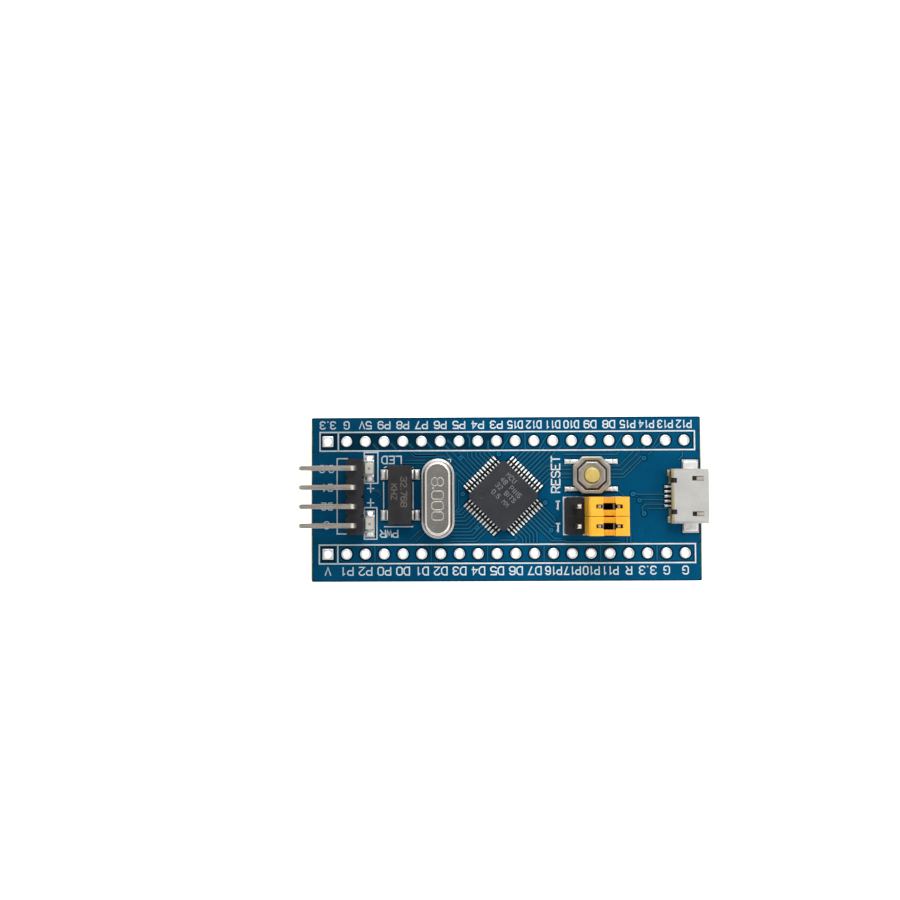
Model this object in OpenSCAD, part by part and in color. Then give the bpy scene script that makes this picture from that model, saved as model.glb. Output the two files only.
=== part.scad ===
// Microcontroller development board: a 40-hole, two-row board with a
// 48-lead microcontroller set at 45 degrees, two crystals, a reset switch,
// two boot jumpers, a 4-pin debug header, two indicator lights and a
// micro USB receptacle. Millimetres. The origin is the centre of the
// two rows of header holes, on the board's lower face. +X points to the
// USB end, +Z out of the component side.

/* [Board] */
// Length of the circuit board
board_l = 52.8; // [52.6:0.1:53.4]
// Width of the circuit board
board_w = 22.2; // [22:0.1:22.8]
// Thickness of the circuit board
board_t = 1.6; // [1.2:0.1:2]
// Offset of the board's centre line from the middle of the two rows
board_off_y = -0.25; // [-0.3:0.05:0.1]
// Corner radius of the circuit board
board_corner_r = 0.3; // [0.1:0.1:1]

/* [Edge headers] */
// Plated holes in each edge row
row_count = 20; // [18:1:20]
// Pitch of the holes along a row
pitch = 2.54; // [2.5:0.01:2.54]
// Distance between the two rows
row_gap = 15.24; // [15.2:0.02:15.3]
// Finished diameter of a header hole
hole_d = 1; // [0.9:0.05:1.1]
// Outer diameter of a header pad
pad_d = 1.45; // [1.45:0.05:1.7]

/* [Microcontroller] */
// Width across the moulded body
mcu_size = 7; // [6.9:0.1:7.1]
// Height of the moulded body
mcu_h = 1.4; // [1.3:0.1:1.6]
// Leads on each side
mcu_side_leads = 12; // [10:1:12]
// Pitch of the leads
mcu_pitch = 0.5; // [0.46:0.01:0.5]
// Width across the lead tips
mcu_span = 9; // [8.9:0.1:9.2]

/* [Crystals] */
// Length of the main crystal's flange
xtal_l = 10.75; // [10.6:0.05:11]
// Width of the main crystal's flange
xtal_w = 4.4; // [4.35:0.05:4.65]
// Height of the main crystal's can
xtal_h = 3.5; // [3.2:0.1:3.8]
// Length of the clock crystal's body
rtc_l = 8; // [7.8:0.1:8.2]
// Width of the clock crystal's body
rtc_w = 3.3; // [3.2:0.05:3.4]
// Height of the clock crystal's body
rtc_h = 2.4; // [2.3:0.1:2.6]

/* [Reset switch] */
// Width across the metal cover
switch_w = 5.1; // [5:0.05:5.2]
// Width across the lead tips
switch_span = 7.15; // [7:0.05:7.4]
// Diameter of the push button
button_d = 2.05; // [1.9:0.05:2.1]
// How far the button travels
button_travel = 0.25; // [0.15:0.05:0.25]

/* [Pin headers and jumpers] */
// Height of the moulded header strips
strip_h = 2.5; // [2.4:0.1:2.6]
// Side of the square header pins
pin_w = 0.64; // [0.6:0.01:0.66]
// Height of the boot pins above their strip
boot_pin_h = 6; // [5.8:0.1:6]
// Reach of the debug pins beyond their strip
swd_reach = 7.3; // [6:0.1:7.6]
// Length of a jumper cap
cap_l = 5.2; // [5.1:0.05:5.3]
// Width of a jumper cap
cap_w = 2.48; // [2.35:0.01:2.5]
// Height of a jumper cap
cap_h = 6.1; // [6.1:0.1:6.4]
// Gap left under a seated jumper cap
cap_lift = 0.35; // [0.35:0.05:0.6]

/* [USB receptacle] */
// Width of the metal shell
usb_w = 7.3; // [7.2:0.1:7.5]
// Depth of the metal shell
usb_l = 5; // [4.8:0.1:5.2]
// Height of the metal shell
usb_h = 2.5; // [2.4:0.1:2.6]
// Sheet thickness of the metal shell
usb_t = 0.25; // [0.2:0.05:0.3]

/* [Hidden] */

$fn = 48;
e = 0.01;
plate_t = 0.035;            // plating in a hole
pad_t = 0.05;               // copper and tin above the board
zs = board_t + pad_t;       // where surface parts sit
row_l = (row_count - 1) * pitch;
hole_r = hole_d / 2;

// Positions of the parts on the board
mcu_at = [-0.38, 0.16];
xtal_at = [-9.22, -0.16];
rtc_at = [-14.32, 0.36];
switch_at = [11.52, 2.9];
boot_at = [11.65, -2.57];
swd_at = [-20.33, 0.1];
usb_x = 21.95;              // rear of the USB shell
usb_y = 0.03;
led_status_at = [-18.5, 3.93];
led_power_at = [-18.43, -3.55];
xtal_lead_gap = 4.88;
xtal_lead_r = 0.215;
tail_z = -1.4;              // lower end of the header pins

// Via positions
vias = [[17.15, 0.35], [18.05, -0.5], [18.65, -2.3], [18.7, 5.2],
    [-6.15, 5.35], [-5.85, 0.45], [-0.95, 5.85], [5.3, -0.75],
    [-4, -4.1], [6.1, -4.5]];

// Parts on the lower face: [x, y, rotation]
caps_at = [[-11.5, 4.2, 0], [-11.5, -4.4, 0], [-5.6, 0, 90],
    [4.4, 0.2, 90], [0, 5.1, 0], [0, -5, 0], [17.5, 3.4, 90],
    [17.5, -3.4, 90]];
ress_at = [[-16.6, 3.8, 90], [-16.6, -3.4, 90], [6.6, 4.3, 90],
    [6.6, -4.2, 90], [20.4, 1.6, 0], [20.4, -1.4, 0],
    [-8.4, -0.1, 90]];
reg_at = [-23.1, 0];

// --- helpers -------------------------------------------------------
// box centred in x and y, standing on z0
module block(cx, cy, z0, sx, sy, sz)
    translate([cx - sx / 2, cy - sy / 2, z0]) cube([sx, sy, sz]);

// rounded plate of exact arcs
module round_plate(l, w, r, h)
    linear_extrude(h) union() {
        square([l - 2 * r, w], center = true);
        square([l, w - 2 * r], center = true);
        for (sx = [-1, 1], sy = [-1, 1])
            translate([sx * (l / 2 - r), sy * (w / 2 - r)]) circle(r);
    }

// square with cut corners
module cut_square(w, c)
    polygon([[w / 2 - c, -w / 2], [w / 2, c - w / 2], [w / 2, w / 2 - c],
        [w / 2 - c, w / 2], [c - w / 2, w / 2], [-w / 2, w / 2 - c],
        [-w / 2, c - w / 2], [c - w / 2, -w / 2]]);

// stadium-shaped plate, long along Y
module stadium(l, w, h)
    union() {
        for (s = [-1, 1])
            translate([0, s * (l - w) / 2, 0]) cylinder(h = h, d = w);
        block(0, 0, 0, w, l - w, h);
    }

// half profile of a can with a rounded top edge
module can_half(w, h, r)
    union() {
        square([w / 2 - r, h]);
        square([w / 2, h - r]);
        translate([w / 2 - r, h - r]) circle(r);
    }

// stadium-shaped block with a rounded top edge, long along Y
module can_block(l, w, h, r)
    union() {
        for (s = [-1, 1])
            translate([0, s * (l - w) / 2, 0])
                rotate_extrude() can_half(w, h, r);
        translate([0, (l - w) / 2, 0]) rotate([90, 0, 0])
            linear_extrude(l - w) union() {
                can_half(w, h, r);
                mirror([1, 0]) can_half(w, h, r);
            }
    }

// moulded block whose four sides lean in above and below a parting line
module moulded(l, w, h, lean, part_z)
    intersection() {
        translate([0, w / 2 + 1, 0]) rotate([90, 0, 0])
            linear_extrude(w + 2)
                polygon([[-l / 2 + lean, 0], [l / 2 - lean, 0],
                    [l / 2, part_z], [l / 2 - lean, h],
                    [-l / 2 + lean, h], [-l / 2, part_z]]);
        translate([-l / 2 - 1, 0, 0]) rotate([90, 0, 90])
            linear_extrude(l + 2)
                polygon([[-w / 2 + lean, 0], [w / 2 - lean, 0],
                    [w / 2, part_z], [w / 2 - lean, h],
                    [-w / 2 + lean, h], [-w / 2, part_z]]);
    }

// extrude an X-Z profile along Y, centred
module along_y(w)
    translate([0, w / 2, 0]) rotate([90, 0, 0])
        linear_extrude(w) children();

// header pin: square bar along Z with tapered ends
module pin_bar(z0, z1)
    intersection() {
        along_y(pin_w) pin_profile(z0, z1);
        rotate([0, 0, 90]) along_y(pin_w) pin_profile(z0, z1);
    }
module pin_profile(z0, z1)
    polygon([[-0.17, z0], [0.17, z0], [pin_w / 2, z0 + 0.3],
        [pin_w / 2, z1 - 0.3], [0.17, z1], [-0.17, z1],
        [-pin_w / 2, z1 - 0.3], [-pin_w / 2, z0 + 0.3]]);

// every through hole that a soldered pin sits in
module at_boot_pins()
    for (i = [-1, 0, 1], j = [-0.5, 0.5])
        translate([boot_at[0] + i * 2.54, boot_at[1] + j * 2.54, 0])
            children();
module at_swd_pins()
    for (i = [-1.5:1:1.5])
        translate([swd_at[0], swd_at[1] + i * 2.54, 0]) children();
module at_xtal_leads()
    for (s = [-0.5, 0.5])
        translate([xtal_at[0], xtal_at[1] + s * xtal_lead_gap, 0])
            children();
module at_header_holes()
    for (i = [0:row_count - 1], s = [-0.5, 0.5])
        translate([-row_l / 2 + i * pitch, s * row_gap, 0]) children();

// --- board ---------------------------------------------------------
module pcb_substrate() color([0.0, 0.24, 0.42])
    difference() {
        translate([0, board_off_y, 0])
            round_plate(board_l, board_w, board_corner_r, board_t);
        at_header_holes() translate([0, 0, -1])
            cylinder(h = board_t + 2, r = hole_r + plate_t);
        at_boot_pins() translate([0, 0, -1])
            cylinder(h = board_t + 2, r = 0.5);
        at_swd_pins() translate([0, 0, -1])
            cylinder(h = board_t + 2, r = 0.5);
        at_xtal_leads() translate([0, 0, -1])
            cylinder(h = board_t + 2, r = 0.4);
        for (p = vias) translate([p[0], p[1], -1])
            cylinder(h = board_t + 2, r = 0.2, $fn = 24);
    }

// plated barrel with a pad on each face
module plated_hole(r, rp)
    rotate_extrude()
        polygon([[r, -pad_t], [rp, -pad_t], [rp, 0], [r + plate_t, 0],
            [r + plate_t, board_t], [rp, board_t], [rp, zs], [r, zs]]);

module header_hole_plating() color([0.86, 0.86, 0.84]) {
    for (i = [1:row_count - 1], s = [-0.5, 0.5])
        translate([-row_l / 2 + i * pitch, s * row_gap, 0])
            plated_hole(hole_r, pad_d / 2);
    for (s = [-0.5, 0.5])
        translate([-row_l / 2, s * row_gap, 0]) difference() {
            union() {
                block(0, 0, board_t, pad_d, pad_d, pad_t);
                block(0, 0, -pad_t, pad_d, pad_d, pad_t);
                cylinder(h = board_t, r = hole_r + plate_t);
            }
            translate([0, 0, -1]) cylinder(h = board_t + 2, r = hole_r);
        }
}

module via_plating() color([0.1, 0.38, 0.6])
    for (p = vias) translate([p[0], p[1], 0])
        rotate_extrude($fn = 24)
            polygon([[0.15, 0], [0.2, 0], [0.2, board_t],
                [0.3, board_t], [0.3, board_t + 0.02],
                [0.15, board_t + 0.02]]);

// pads of the surface parts and of the soldered pins
module solder_pads() color([0.82, 0.82, 0.8]) {
    translate([mcu_at[0], mcu_at[1], board_t]) rotate([0, 0, 45])
        for (k = [0:3], i = [0:mcu_side_leads - 1])
            rotate([0, 0, 90 * k])
                block(4.37, (i - (mcu_side_leads - 1) / 2) * mcu_pitch,
                    0, 0.8, 0.28, pad_t);
    for (sx = [-1, 1], sy = [-1, 1]) {
        block(rtc_at[0] + sx * 2.1, rtc_at[1] + sy * 2.75, board_t,
            1.1, 1.4, pad_t);
        block(switch_at[0] + sx * (switch_span / 2 - 0.42),
            switch_at[1] + sy * 1.86, board_t, 0.9, 0.7, pad_t);
    }
    for (p = [led_status_at, led_power_at], s = [-1, 1])
        block(p[0], p[1] + s * 1.28, board_t, 1.25, 1.05, pad_t);
    for (i = [-2:2])
        block(usb_x - 0.17, usb_y + i * 0.65, board_t, 0.78, 0.36, pad_t);
    for (s = [-1, 1]) {
        block(usb_x + 2.95, usb_y + s * 4.05, board_t, 2.2, 1.8, pad_t);
        block(usb_x + 0.6, usb_y + s * 2.5, board_t, 1.2, 1.2, pad_t);
    }
    at_boot_pins() pin_pads(0.5, 0.8);
    at_swd_pins() pin_pads(0.5, 0.8);
    at_xtal_leads() pin_pads(0.4, 0.75);
    at_caps() for (s = [-1, 1]) block(s * 0.8, 0, 0, 0.8, 0.95, pad_t);
    at_ress() for (s = [-1, 1]) block(s * 0.8, 0, 0, 0.8, 0.95, pad_t);
    under([reg_at[0], reg_at[1], 0]) {
        for (i = [-1, 0, 1]) block(1.25, i * 0.95, 0, 0.9, 0.55, pad_t);
        for (i = [-1, 1]) block(-1.25, i * 0.95, 0, 0.9, 0.55, pad_t);
    }
}
module pin_pads(r, rp) {
    for (z = [-pad_t, board_t]) translate([0, 0, z]) difference() {
        cylinder(h = pad_t, r = rp);
        translate([0, 0, -1]) cylinder(h = 2, r = r);
    }
}

// --- microcontroller -----------------------------------------------
module at_mcu() translate([mcu_at[0], mcu_at[1], zs])
    rotate([0, 0, 45]) children();

module mcu_lead_bars()
    for (k = [0:3], i = [0:mcu_side_leads - 1])
        rotate([0, 0, 90 * k])
            translate([0, (i - (mcu_side_leads - 1) / 2) * mcu_pitch, 0])
                along_y(0.22)
                    polygon([[3.05, 0.735], [3.8, 0.735], [3.88, 0.66],
                        [3.94, 0.12], [4.06, 0], [mcu_span / 2, 0],
                        [mcu_span / 2, 0.13], [4.14, 0.13], [4.07, 0.2],
                        [4.01, 0.72], [3.86, 0.865], [3.05, 0.865]]);

module mcu_body() color([0.16, 0.16, 0.17])
    at_mcu() difference() {
        intersection() {
            translate([0, 0, 0.1])
                moulded(mcu_size, mcu_size, mcu_h, 0.09, 0.7);
            linear_extrude(3) cut_square(mcu_size, 0.45);
        }
        mcu_lead_bars();
        block(0, 0, 0.62, 3.8, 3.8, 0.15);
        block(0, 0, 0.77, 3, 3, 0.3);
        translate([-2.1, 2.1, mcu_h + 0.02]) cylinder(h = 1, r = 0.38);
    }

module mcu_leads() color([0.8, 0.8, 0.78]) at_mcu() mcu_lead_bars();
module mcu_die_paddle() color([0.72, 0.45, 0.3])
    at_mcu() block(0, 0, 0.62, 3.8, 3.8, 0.15);
module mcu_die() color([0.35, 0.36, 0.4])
    at_mcu() block(0, 0, 0.77, 3, 3, 0.3);

// --- main crystal ----------------------------------------------------
module at_xtal() translate([xtal_at[0], xtal_at[1], zs]) children();

module main_crystal_can() color([0.7, 0.69, 0.66])
    at_xtal() difference() {
        union() {
            translate([0, 0, 0.35]) stadium(xtal_l, xtal_w, 0.25);
            translate([0, 0, 0.35])
                can_block(xtal_l - 0.8, xtal_w - 0.75, xtal_h - 0.35,
                    0.42);
        }
        translate([0, 0, 0.3])
            can_block(xtal_l - 1.2, xtal_w - 1.15, xtal_h - 0.5, 0.27);
    }
module main_crystal_base() color([0.72, 0.66, 0.58])
    at_xtal() difference() {
        union() {
            stadium(xtal_l, xtal_w, 0.35);
            stadium(xtal_l - 1.3, xtal_w - 1.25, 0.6);
        }
        for (s = [-0.5, 0.5])
            translate([0, s * xtal_lead_gap, -1])
                cylinder(h = 3, r = 0.75);
    }
module main_crystal_glass_seals() color([0.25, 0.3, 0.35])
    at_xtal() for (s = [-0.5, 0.5])
        translate([0, s * xtal_lead_gap, 0]) difference() {
            cylinder(h = 0.6, r = 0.75);
            translate([0, 0, -1]) cylinder(h = 3, r = xtal_lead_r);
        }
module main_crystal_leads() color([0.8, 0.8, 0.78])
    at_xtal_leads() union() {
        translate([0, 0, -1.2])
            cylinder(h = zs + 1.2 + 1, r = xtal_lead_r);
        translate([0, 0, zs + 1]) cylinder(h = 0.15, r = 0.4);
    }
module main_crystal_clips() color([0.75, 0.74, 0.7])
    at_xtal() for (s = [-1, 1])
        translate([0, s * xtal_lead_gap / 2, 1.15]) union() {
            block(0, 0, 0, 0.9, 0.8, 0.12);
            block(0, s * 0.34, 0.12, 0.9, 0.12, 0.55);
            block(0, s * 0.54, 0.55, 0.9, 0.5, 0.12);
        }
module main_crystal_quartz() color([0.85, 0.86, 0.84])
    at_xtal() block(0, 0, 1.82, 1.9, 6.4, 0.2);

// --- clock crystal ---------------------------------------------------
module at_rtc() translate([rtc_at[0], rtc_at[1], zs]) children();

module rtc_terminal_bars()
    for (k = [0, 1], s = [-1, 1]) rotate([0, 0, 180 * k])
        translate([0, s * 2.75, 0])
            along_y(1.2)
                polygon([[1.1, 0.4], [1.72, 0.4], [1.86, 0.1], [1.95, 0],
                    [2.45, 0], [2.45, 0.15], [2.02, 0.15], [1.96, 0.22],
                    [1.82, 0.55], [1.1, 0.55]]);
module clock_crystal_body() color([0.08, 0.08, 0.09])
    at_rtc() difference() {
        translate([0, 0, 0.1])
            moulded(rtc_w, rtc_l, rtc_h, 0.1, 0.4);
        rtc_terminal_bars();
        translate([0, -3, 1.45]) rotate([-90, 0, 0])
            cylinder(h = 6, r = 0.85);
    }
module clock_crystal_terminals() color([0.82, 0.82, 0.8])
    at_rtc() rtc_terminal_bars();
module clock_crystal_cylinder() color([0.75, 0.75, 0.73])
    at_rtc() translate([0, -3, 1.45]) rotate([-90, 0, 0])
        difference() {
            cylinder(h = 6, r = 0.85);
            translate([0, 0, 0.5]) cylinder(h = 5.3, r = 0.7);
        }
module clock_crystal_fork() color([0.85, 0.86, 0.84])
    at_rtc() translate([0, -2.5, 1.4]) union() {
        block(0, 0.7, 0, 0.7, 1.4, 0.12);
        for (s = [-1, 1]) block(s * 0.22, 2.9, 0, 0.26, 3.2, 0.12);
    }

// --- reset switch ----------------------------------------------------
module at_switch() translate([switch_at[0], switch_at[1], zs])
    children();

module switch_terminal_bars()
    for (k = [0, 1], s = [-1, 1]) rotate([0, 0, 180 * k])
        translate([0, s * 1.86, 0])
            along_y(0.55)
                polygon([[1.3, 0.3], [2.7, 0.3], [2.82, 0.06], [2.9, 0],
                    [switch_span / 2, 0], [switch_span / 2, 0.15],
                    [2.97, 0.15], [2.94, 0.2], [2.82, 0.45],
                    [1.3, 0.45]]);
module reset_switch_base() color([0.12, 0.12, 0.13])
    at_switch() difference() {
        translate([0, 0, 0.05]) linear_extrude(0.85)
            cut_square(switch_w - 0.5, 1.1);
        translate([0, 0, 0.5]) cylinder(h = 1, r = 1.75);
        switch_terminal_bars();
    }
module reset_switch_terminals() color([0.8, 0.8, 0.78])
    at_switch() switch_terminal_bars();
module reset_switch_dome() color([0.75, 0.74, 0.7])
    at_switch() translate([0, 0, 0.5])
        rotate_extrude()
            polygon([[0, 0.3], [0.5, 0.28], [1, 0.2], [1.5, 0],
                [1.7, 0], [1.7, 0.07], [1.52, 0.07], [1.02, 0.27],
                [0.5, 0.35], [0, 0.37]]);
module reset_switch_cover() color([0.66, 0.63, 0.58])
    at_switch() difference() {
        union() {
            translate([0, 0, 0.15]) linear_extrude(0.9)
                cut_square(switch_w, 1.25);
            translate([0, 0, 1]) linear_extrude(0.3)
                cut_square(3.55, 1.1);
        }
        translate([0, 0, -0.1]) linear_extrude(1)
            cut_square(switch_w - 0.4, 1.15);
        translate([0, 0, 0.5]) cylinder(h = 0.65, r = 1.5);
        cylinder(h = 3, d = button_d + 0.16);
        // openings in the skirt for the four leads
        for (s = [-1, 1]) block(0, s * 1.86, -0.1, 7, 0.75, 0.65);
    }
module reset_button() color([0.78, 0.68, 0.35])
    at_switch() union() {
        translate([0, 0, 0.9]) cylinder(h = 0.15, r = 1.35);
        translate([0, 0, 0.9]) cylinder(h = 0.78, d = button_d);
    }

// --- boot header and jumpers -------------------------------------------
// moulded header strip along X with notches between the pins
module strip_2d(n, w)
    polygon(concat(
        [for (i = [0:n - 1]) each
            [[(i - n / 2) * 2.54 + 0.3, -w / 2],
             [(i - n / 2 + 1) * 2.54 - 0.3, -w / 2],
             [(i - n / 2 + 1) * 2.54, -w / 2 + 0.35]]],
        [for (i = [n - 1:-1:0]) each
            [[(i - n / 2 + 1) * 2.54, w / 2 - 0.35],
             [(i - n / 2 + 1) * 2.54 - 0.3, w / 2],
             [(i - n / 2) * 2.54 + 0.3, w / 2]]],
        [[-n / 2 * 2.54, w / 2 - 0.35], [-n / 2 * 2.54, -w / 2 + 0.35]]));

module pin_hole() translate([-pin_w / 2, -pin_w / 2, -1])
    cube([pin_w, pin_w, 20]);

module boot_header_strip() color([0.09, 0.09, 0.1])
    difference() {
        translate([boot_at[0], boot_at[1], zs])
            linear_extrude(strip_h) strip_2d(3, 5.08);
        at_boot_pins() pin_hole();
    }
module boot_header_pins() color([0.8, 0.78, 0.7])
    at_boot_pins() pin_bar(tail_z, zs + strip_h + boot_pin_h);

module at_cap(s)
    translate([boot_at[0] + 1.27, boot_at[1] + s * 1.27,
        zs + strip_h + cap_lift]) children();
cap_hollow = boot_pin_h - cap_lift + 0.06;  // depth of the cavity

module cap_body()
    difference() {
        // plan outline with a waist on both long sides
        translate([0, 0, 0]) linear_extrude(cap_h)
            polygon([[-cap_l / 2, -cap_w / 2], [-0.75, -cap_w / 2],
                [-0.65, -cap_w / 2 + 0.06], [0.65, -cap_w / 2 + 0.06],
                [0.75, -cap_w / 2], [cap_l / 2, -cap_w / 2],
                [cap_l / 2, cap_w / 2], [0.75, cap_w / 2],
                [0.65, cap_w / 2 - 0.06], [-0.65, cap_w / 2 - 0.06],
                [-0.75, cap_w / 2], [-cap_l / 2, cap_w / 2]]);
        // cavity for the contact, open below
        block(0, 0, -1, 4.4, 1.64, cap_hollow + 1);
        // shallow band across the top, over the waist
        block(0, 0, cap_h - 0.18, 1.5, 3, 1);
        // stepped slot through the top
        block(0, 0, cap_h - 2, 1.66, 0.86, 4);
        block(0, 0, cap_h - 2, 3.4, 0.5, 4);
        // bevel at the top of each end
        for (s = [-1, 1]) translate([s * cap_l / 2, 0, cap_h])
            rotate([0, 45, 0]) block(0, 0, -0.18, 0.36, 5, 0.36);
    }
module jumper_cap_upper() color([0.98, 0.68, 0.1])
    at_cap(1) cap_body();
module jumper_cap_lower() color([0.98, 0.68, 0.1])
    at_cap(-1) cap_body();

// spring contact: two square sleeves split along one side, joined above
module contact()
    union() {
        for (s = [-1, 1]) translate([s * 1.27, 0, 0]) difference() {
            block(0, 0, 0.3, 1.3, 1.64, 4.4);
            block(0, 0, 0, 0.84, 0.84, 8);
            block(0, 0.7, 0, 0.3, 1, 8);
        }
        for (s = [-1, 1]) block(0, s * 0.72, 3.9, 2.4, 0.2, 0.8);
    }
module jumper_contact_upper() color([0.83, 0.8, 0.72])
    at_cap(1) contact();
module jumper_contact_lower() color([0.83, 0.8, 0.72])
    at_cap(-1) contact();

// --- debug header ------------------------------------------------------
module debug_header_strip() color([0.09, 0.09, 0.1])
    difference() {
        translate([swd_at[0], swd_at[1], zs]) rotate([0, 0, 90])
            linear_extrude(strip_h) strip_2d(4, 2.32);
        at_swd_pins() pin_hole();
    }
// pin: up through the strip, round a bend and out level with it
module debug_header_pins() color([0.8, 0.77, 0.72])
    at_swd_pins() union() {
        intersection() {
            along_y(pin_w)
                polygon([[-0.17, tail_z], [0.17, tail_z],
                    [pin_w / 2, tail_z + 0.3], [pin_w / 2, swd_z - 0.5],
                    [-pin_w / 2, swd_z - 0.5],
                    [-pin_w / 2, tail_z + 0.3]]);
            block(0, 0, tail_z, pin_w, pin_w, 20);
        }
        // quarter bend of inside radius 0.18
        translate([-pin_w / 2 - 0.18, pin_w / 2, swd_z - 0.5])
            rotate([90, 0, 0]) linear_extrude(pin_w)
                intersection() {
                    difference() {
                        circle(0.18 + pin_w);
                        circle(0.18);
                    }
                    square(5);
                }
        intersection() {
            translate([-swd_reach, 0, 0]) along_y(pin_w)
                polygon([[0, swd_z + 0.15], [0.3, swd_z - 0.32],
                    [swd_reach - pin_w / 2 - 0.18, swd_z - 0.32],
                    [swd_reach - pin_w / 2 - 0.18, swd_z + 0.32],
                    [0.3, swd_z + 0.32], [0, swd_z + 0.17]]);
            translate([-swd_reach, 0, 0]) linear_extrude(20)
                polygon([[0, -0.17], [0.3, -pin_w / 2],
                    [swd_reach, -pin_w / 2], [swd_reach, pin_w / 2],
                    [0.3, pin_w / 2], [0, 0.17]]);
        }
    }
swd_z = zs + strip_h + 1.2;      // centre of the level pins

// --- USB receptacle ------------------------------------------------------
// outline of the shell's section, in Y-Z
module usb_outline(g)
    polygon([[-usb_w / 2 + 1 + g * 0.4, g], [usb_w / 2 - 1 - g * 0.4, g],
        [usb_w / 2 - g, 0.9 + g * 0.4], [usb_w / 2 - g, usb_h - 0.3 - g * 0.4],
        [usb_w / 2 - 0.3 - g * 0.4, usb_h - g],
        [-usb_w / 2 + 0.3 + g * 0.4, usb_h - g],
        [-usb_w / 2 + g, usb_h - 0.3 - g * 0.4],
        [-usb_w / 2 + g, 0.9 + g * 0.4]]);
module usb_bar(x0, l, g) translate([x0, 0, 0]) rotate([90, 0, 90])
    linear_extrude(l) usb_outline(g);
module at_usb() translate([usb_x, usb_y, zs]) children();

module usb_shell() color([0.72, 0.7, 0.66])
    at_usb() union() {
        difference() {
            usb_bar(0, usb_l, 0);
            usb_bar(-1, usb_l + 2, usb_t);
            for (s = [-1, 1]) {
                // slots over the plug's latches and the rear notches
                block(3.55, s * 2.36, usb_h - 1, 1.55, 0.62, 2);
                block(0.3, s * 2.1, usb_h - 1, 0.84, 0.66, 2);
            }
            // rolled rear edge, and room for the contacts' tails
            rotate([90, 0, 0]) linear_extrude(10, center = true)
                polygon([[-0.1, usb_h + 0.1], [0.34, usb_h + 0.1],
                    [0.24, usb_h], [0, usb_h - 0.14],
                    [-0.1, usb_h - 0.14]]);
            block(0.1, 0, -0.5, 0.8, 3.3, 1.2);
        }
        for (s = [-1, 1]) {
            difference() {
                union() {
                    // side wing soldered flat on the board
                    block(2.95, s * (usb_w / 2 + 0.55), 0, 2, 1.2, 0.25);
                    block(2.95, s * (usb_w / 2 - 0.12), 0, 2, 0.24, 1.3);
                }
                usb_bar(-1, usb_l + 2, usb_t);
            }
            // rear corner flap
            block(-0.13, s * (usb_w / 2 - 0.5), 0.25, 0.34, 0.8, 1);
            // spring latch that dips into the shell from its slot
            translate([4.42, s * 2.36, usb_h - 0.19])
                rotate([0, -20, 0]) block(-0.5, 0, -0.01, 1, 0.5, 0.18);
        }
    }
module usb_insulator() color([0.1, 0.1, 0.1])
    at_usb() difference() {
        union() {
            usb_bar(0.25, 1.5, usb_t);
            // tongue that carries the contacts
            block(2.9, 0, 1.55, 3, 3.9, 0.5);
        }
        usb_contact_bars();
    }
module usb_contact_bars()
    for (i = [-2:2]) translate([0, i * 0.65, 0])
        along_y(0.25)
            polygon([[-0.55, 0], [0.1, 0], [0.28, 0.2], [0.28, 1.43],
                [4.1, 1.43], [4.1, 1.57], [0.12, 1.57], [0.12, 0.3],
                [0.02, 0.16], [-0.55, 0.16]]);
module usb_contacts() color([0.84, 0.8, 0.68])
    at_usb() usb_contact_bars();

// --- indicator lights ------------------------------------------------------
module led_base_shape()
    difference() {
        block(0, 0, 0.03, 1.25, 1.96, 0.32);
        block(0, 0, 0.25, 0.4, 0.4, 1);
    }
module led_lens_shape()
    difference() {
        translate([0, 0, 0.35]) moulded(1.2, 1.5, 0.5, 0.06, 0.01);
        block(0, 0, 0.3, 0.3, 0.3, 0.15);
    }
module led_end_shape()
    for (s = [-1, 1]) translate([0, s * 0.99, 0]) difference() {
        block(0, 0, 0, 1.25, 0.3, 0.37);
        block(0, -s * 0.16, 0.03, 2, 0.3, 0.32);
    }
module status_led_base() color([0.9, 0.88, 0.8])
    translate([led_status_at[0], led_status_at[1], zs]) led_base_shape();
module power_led_base() color([0.9, 0.88, 0.8])
    translate([led_power_at[0], led_power_at[1], zs]) led_base_shape();
module status_led_lens() color([0.92, 0.92, 0.82, 0.6])
    translate([led_status_at[0], led_status_at[1], zs]) led_lens_shape();
module power_led_lens() color([0.92, 0.92, 0.82, 0.6])
    translate([led_power_at[0], led_power_at[1], zs]) led_lens_shape();
module status_led_terminals() color([0.85, 0.85, 0.82])
    translate([led_status_at[0], led_status_at[1], zs]) led_end_shape();
module power_led_terminals() color([0.85, 0.85, 0.82])
    translate([led_power_at[0], led_power_at[1], zs]) led_end_shape();
module led_dies() color([0.5, 0.45, 0.2])
    for (p = [led_status_at, led_power_at])
        translate([p[0], p[1], zs]) block(0, 0, 0.25, 0.28, 0.28, 0.18);

// --- parts on the lower face -------------------------------------------------
module under(p) translate([p[0], p[1], 0]) rotate([180, 0, 0])
    rotate([0, 0, p[2]]) children();
module at_caps() for (p = caps_at) under(p) children();
module at_ress() for (p = ress_at) under(p) children();

module regulator_body() color([0.1, 0.1, 0.11])
    under([reg_at[0], reg_at[1], 0]) translate([0, 0, pad_t])
        difference() {
            translate([0, 0, 0.08]) moulded(1.6, 2.9, 1.05, 0.1, 0.5);
            reg_lead_bars();
        }
module reg_lead_bars() {
    for (i = [-1, 0, 1]) translate([0, i * 0.95, 0]) reg_lead();
    for (i = [-1, 1]) translate([0, i * 0.95, 0]) rotate([0, 0, 180])
        reg_lead();
}
module reg_lead() along_y(0.4)
    polygon([[0.5, 0.5], [0.95, 0.5], [1.02, 0.1], [1.1, 0], [1.42, 0],
        [1.42, 0.14], [1.15, 0.14], [1.1, 0.6], [1.02, 0.64],
        [0.5, 0.64]]);
module regulator_leads() color([0.8, 0.8, 0.78])
    under([reg_at[0], reg_at[1], 0]) translate([0, 0, pad_t])
        reg_lead_bars();

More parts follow.
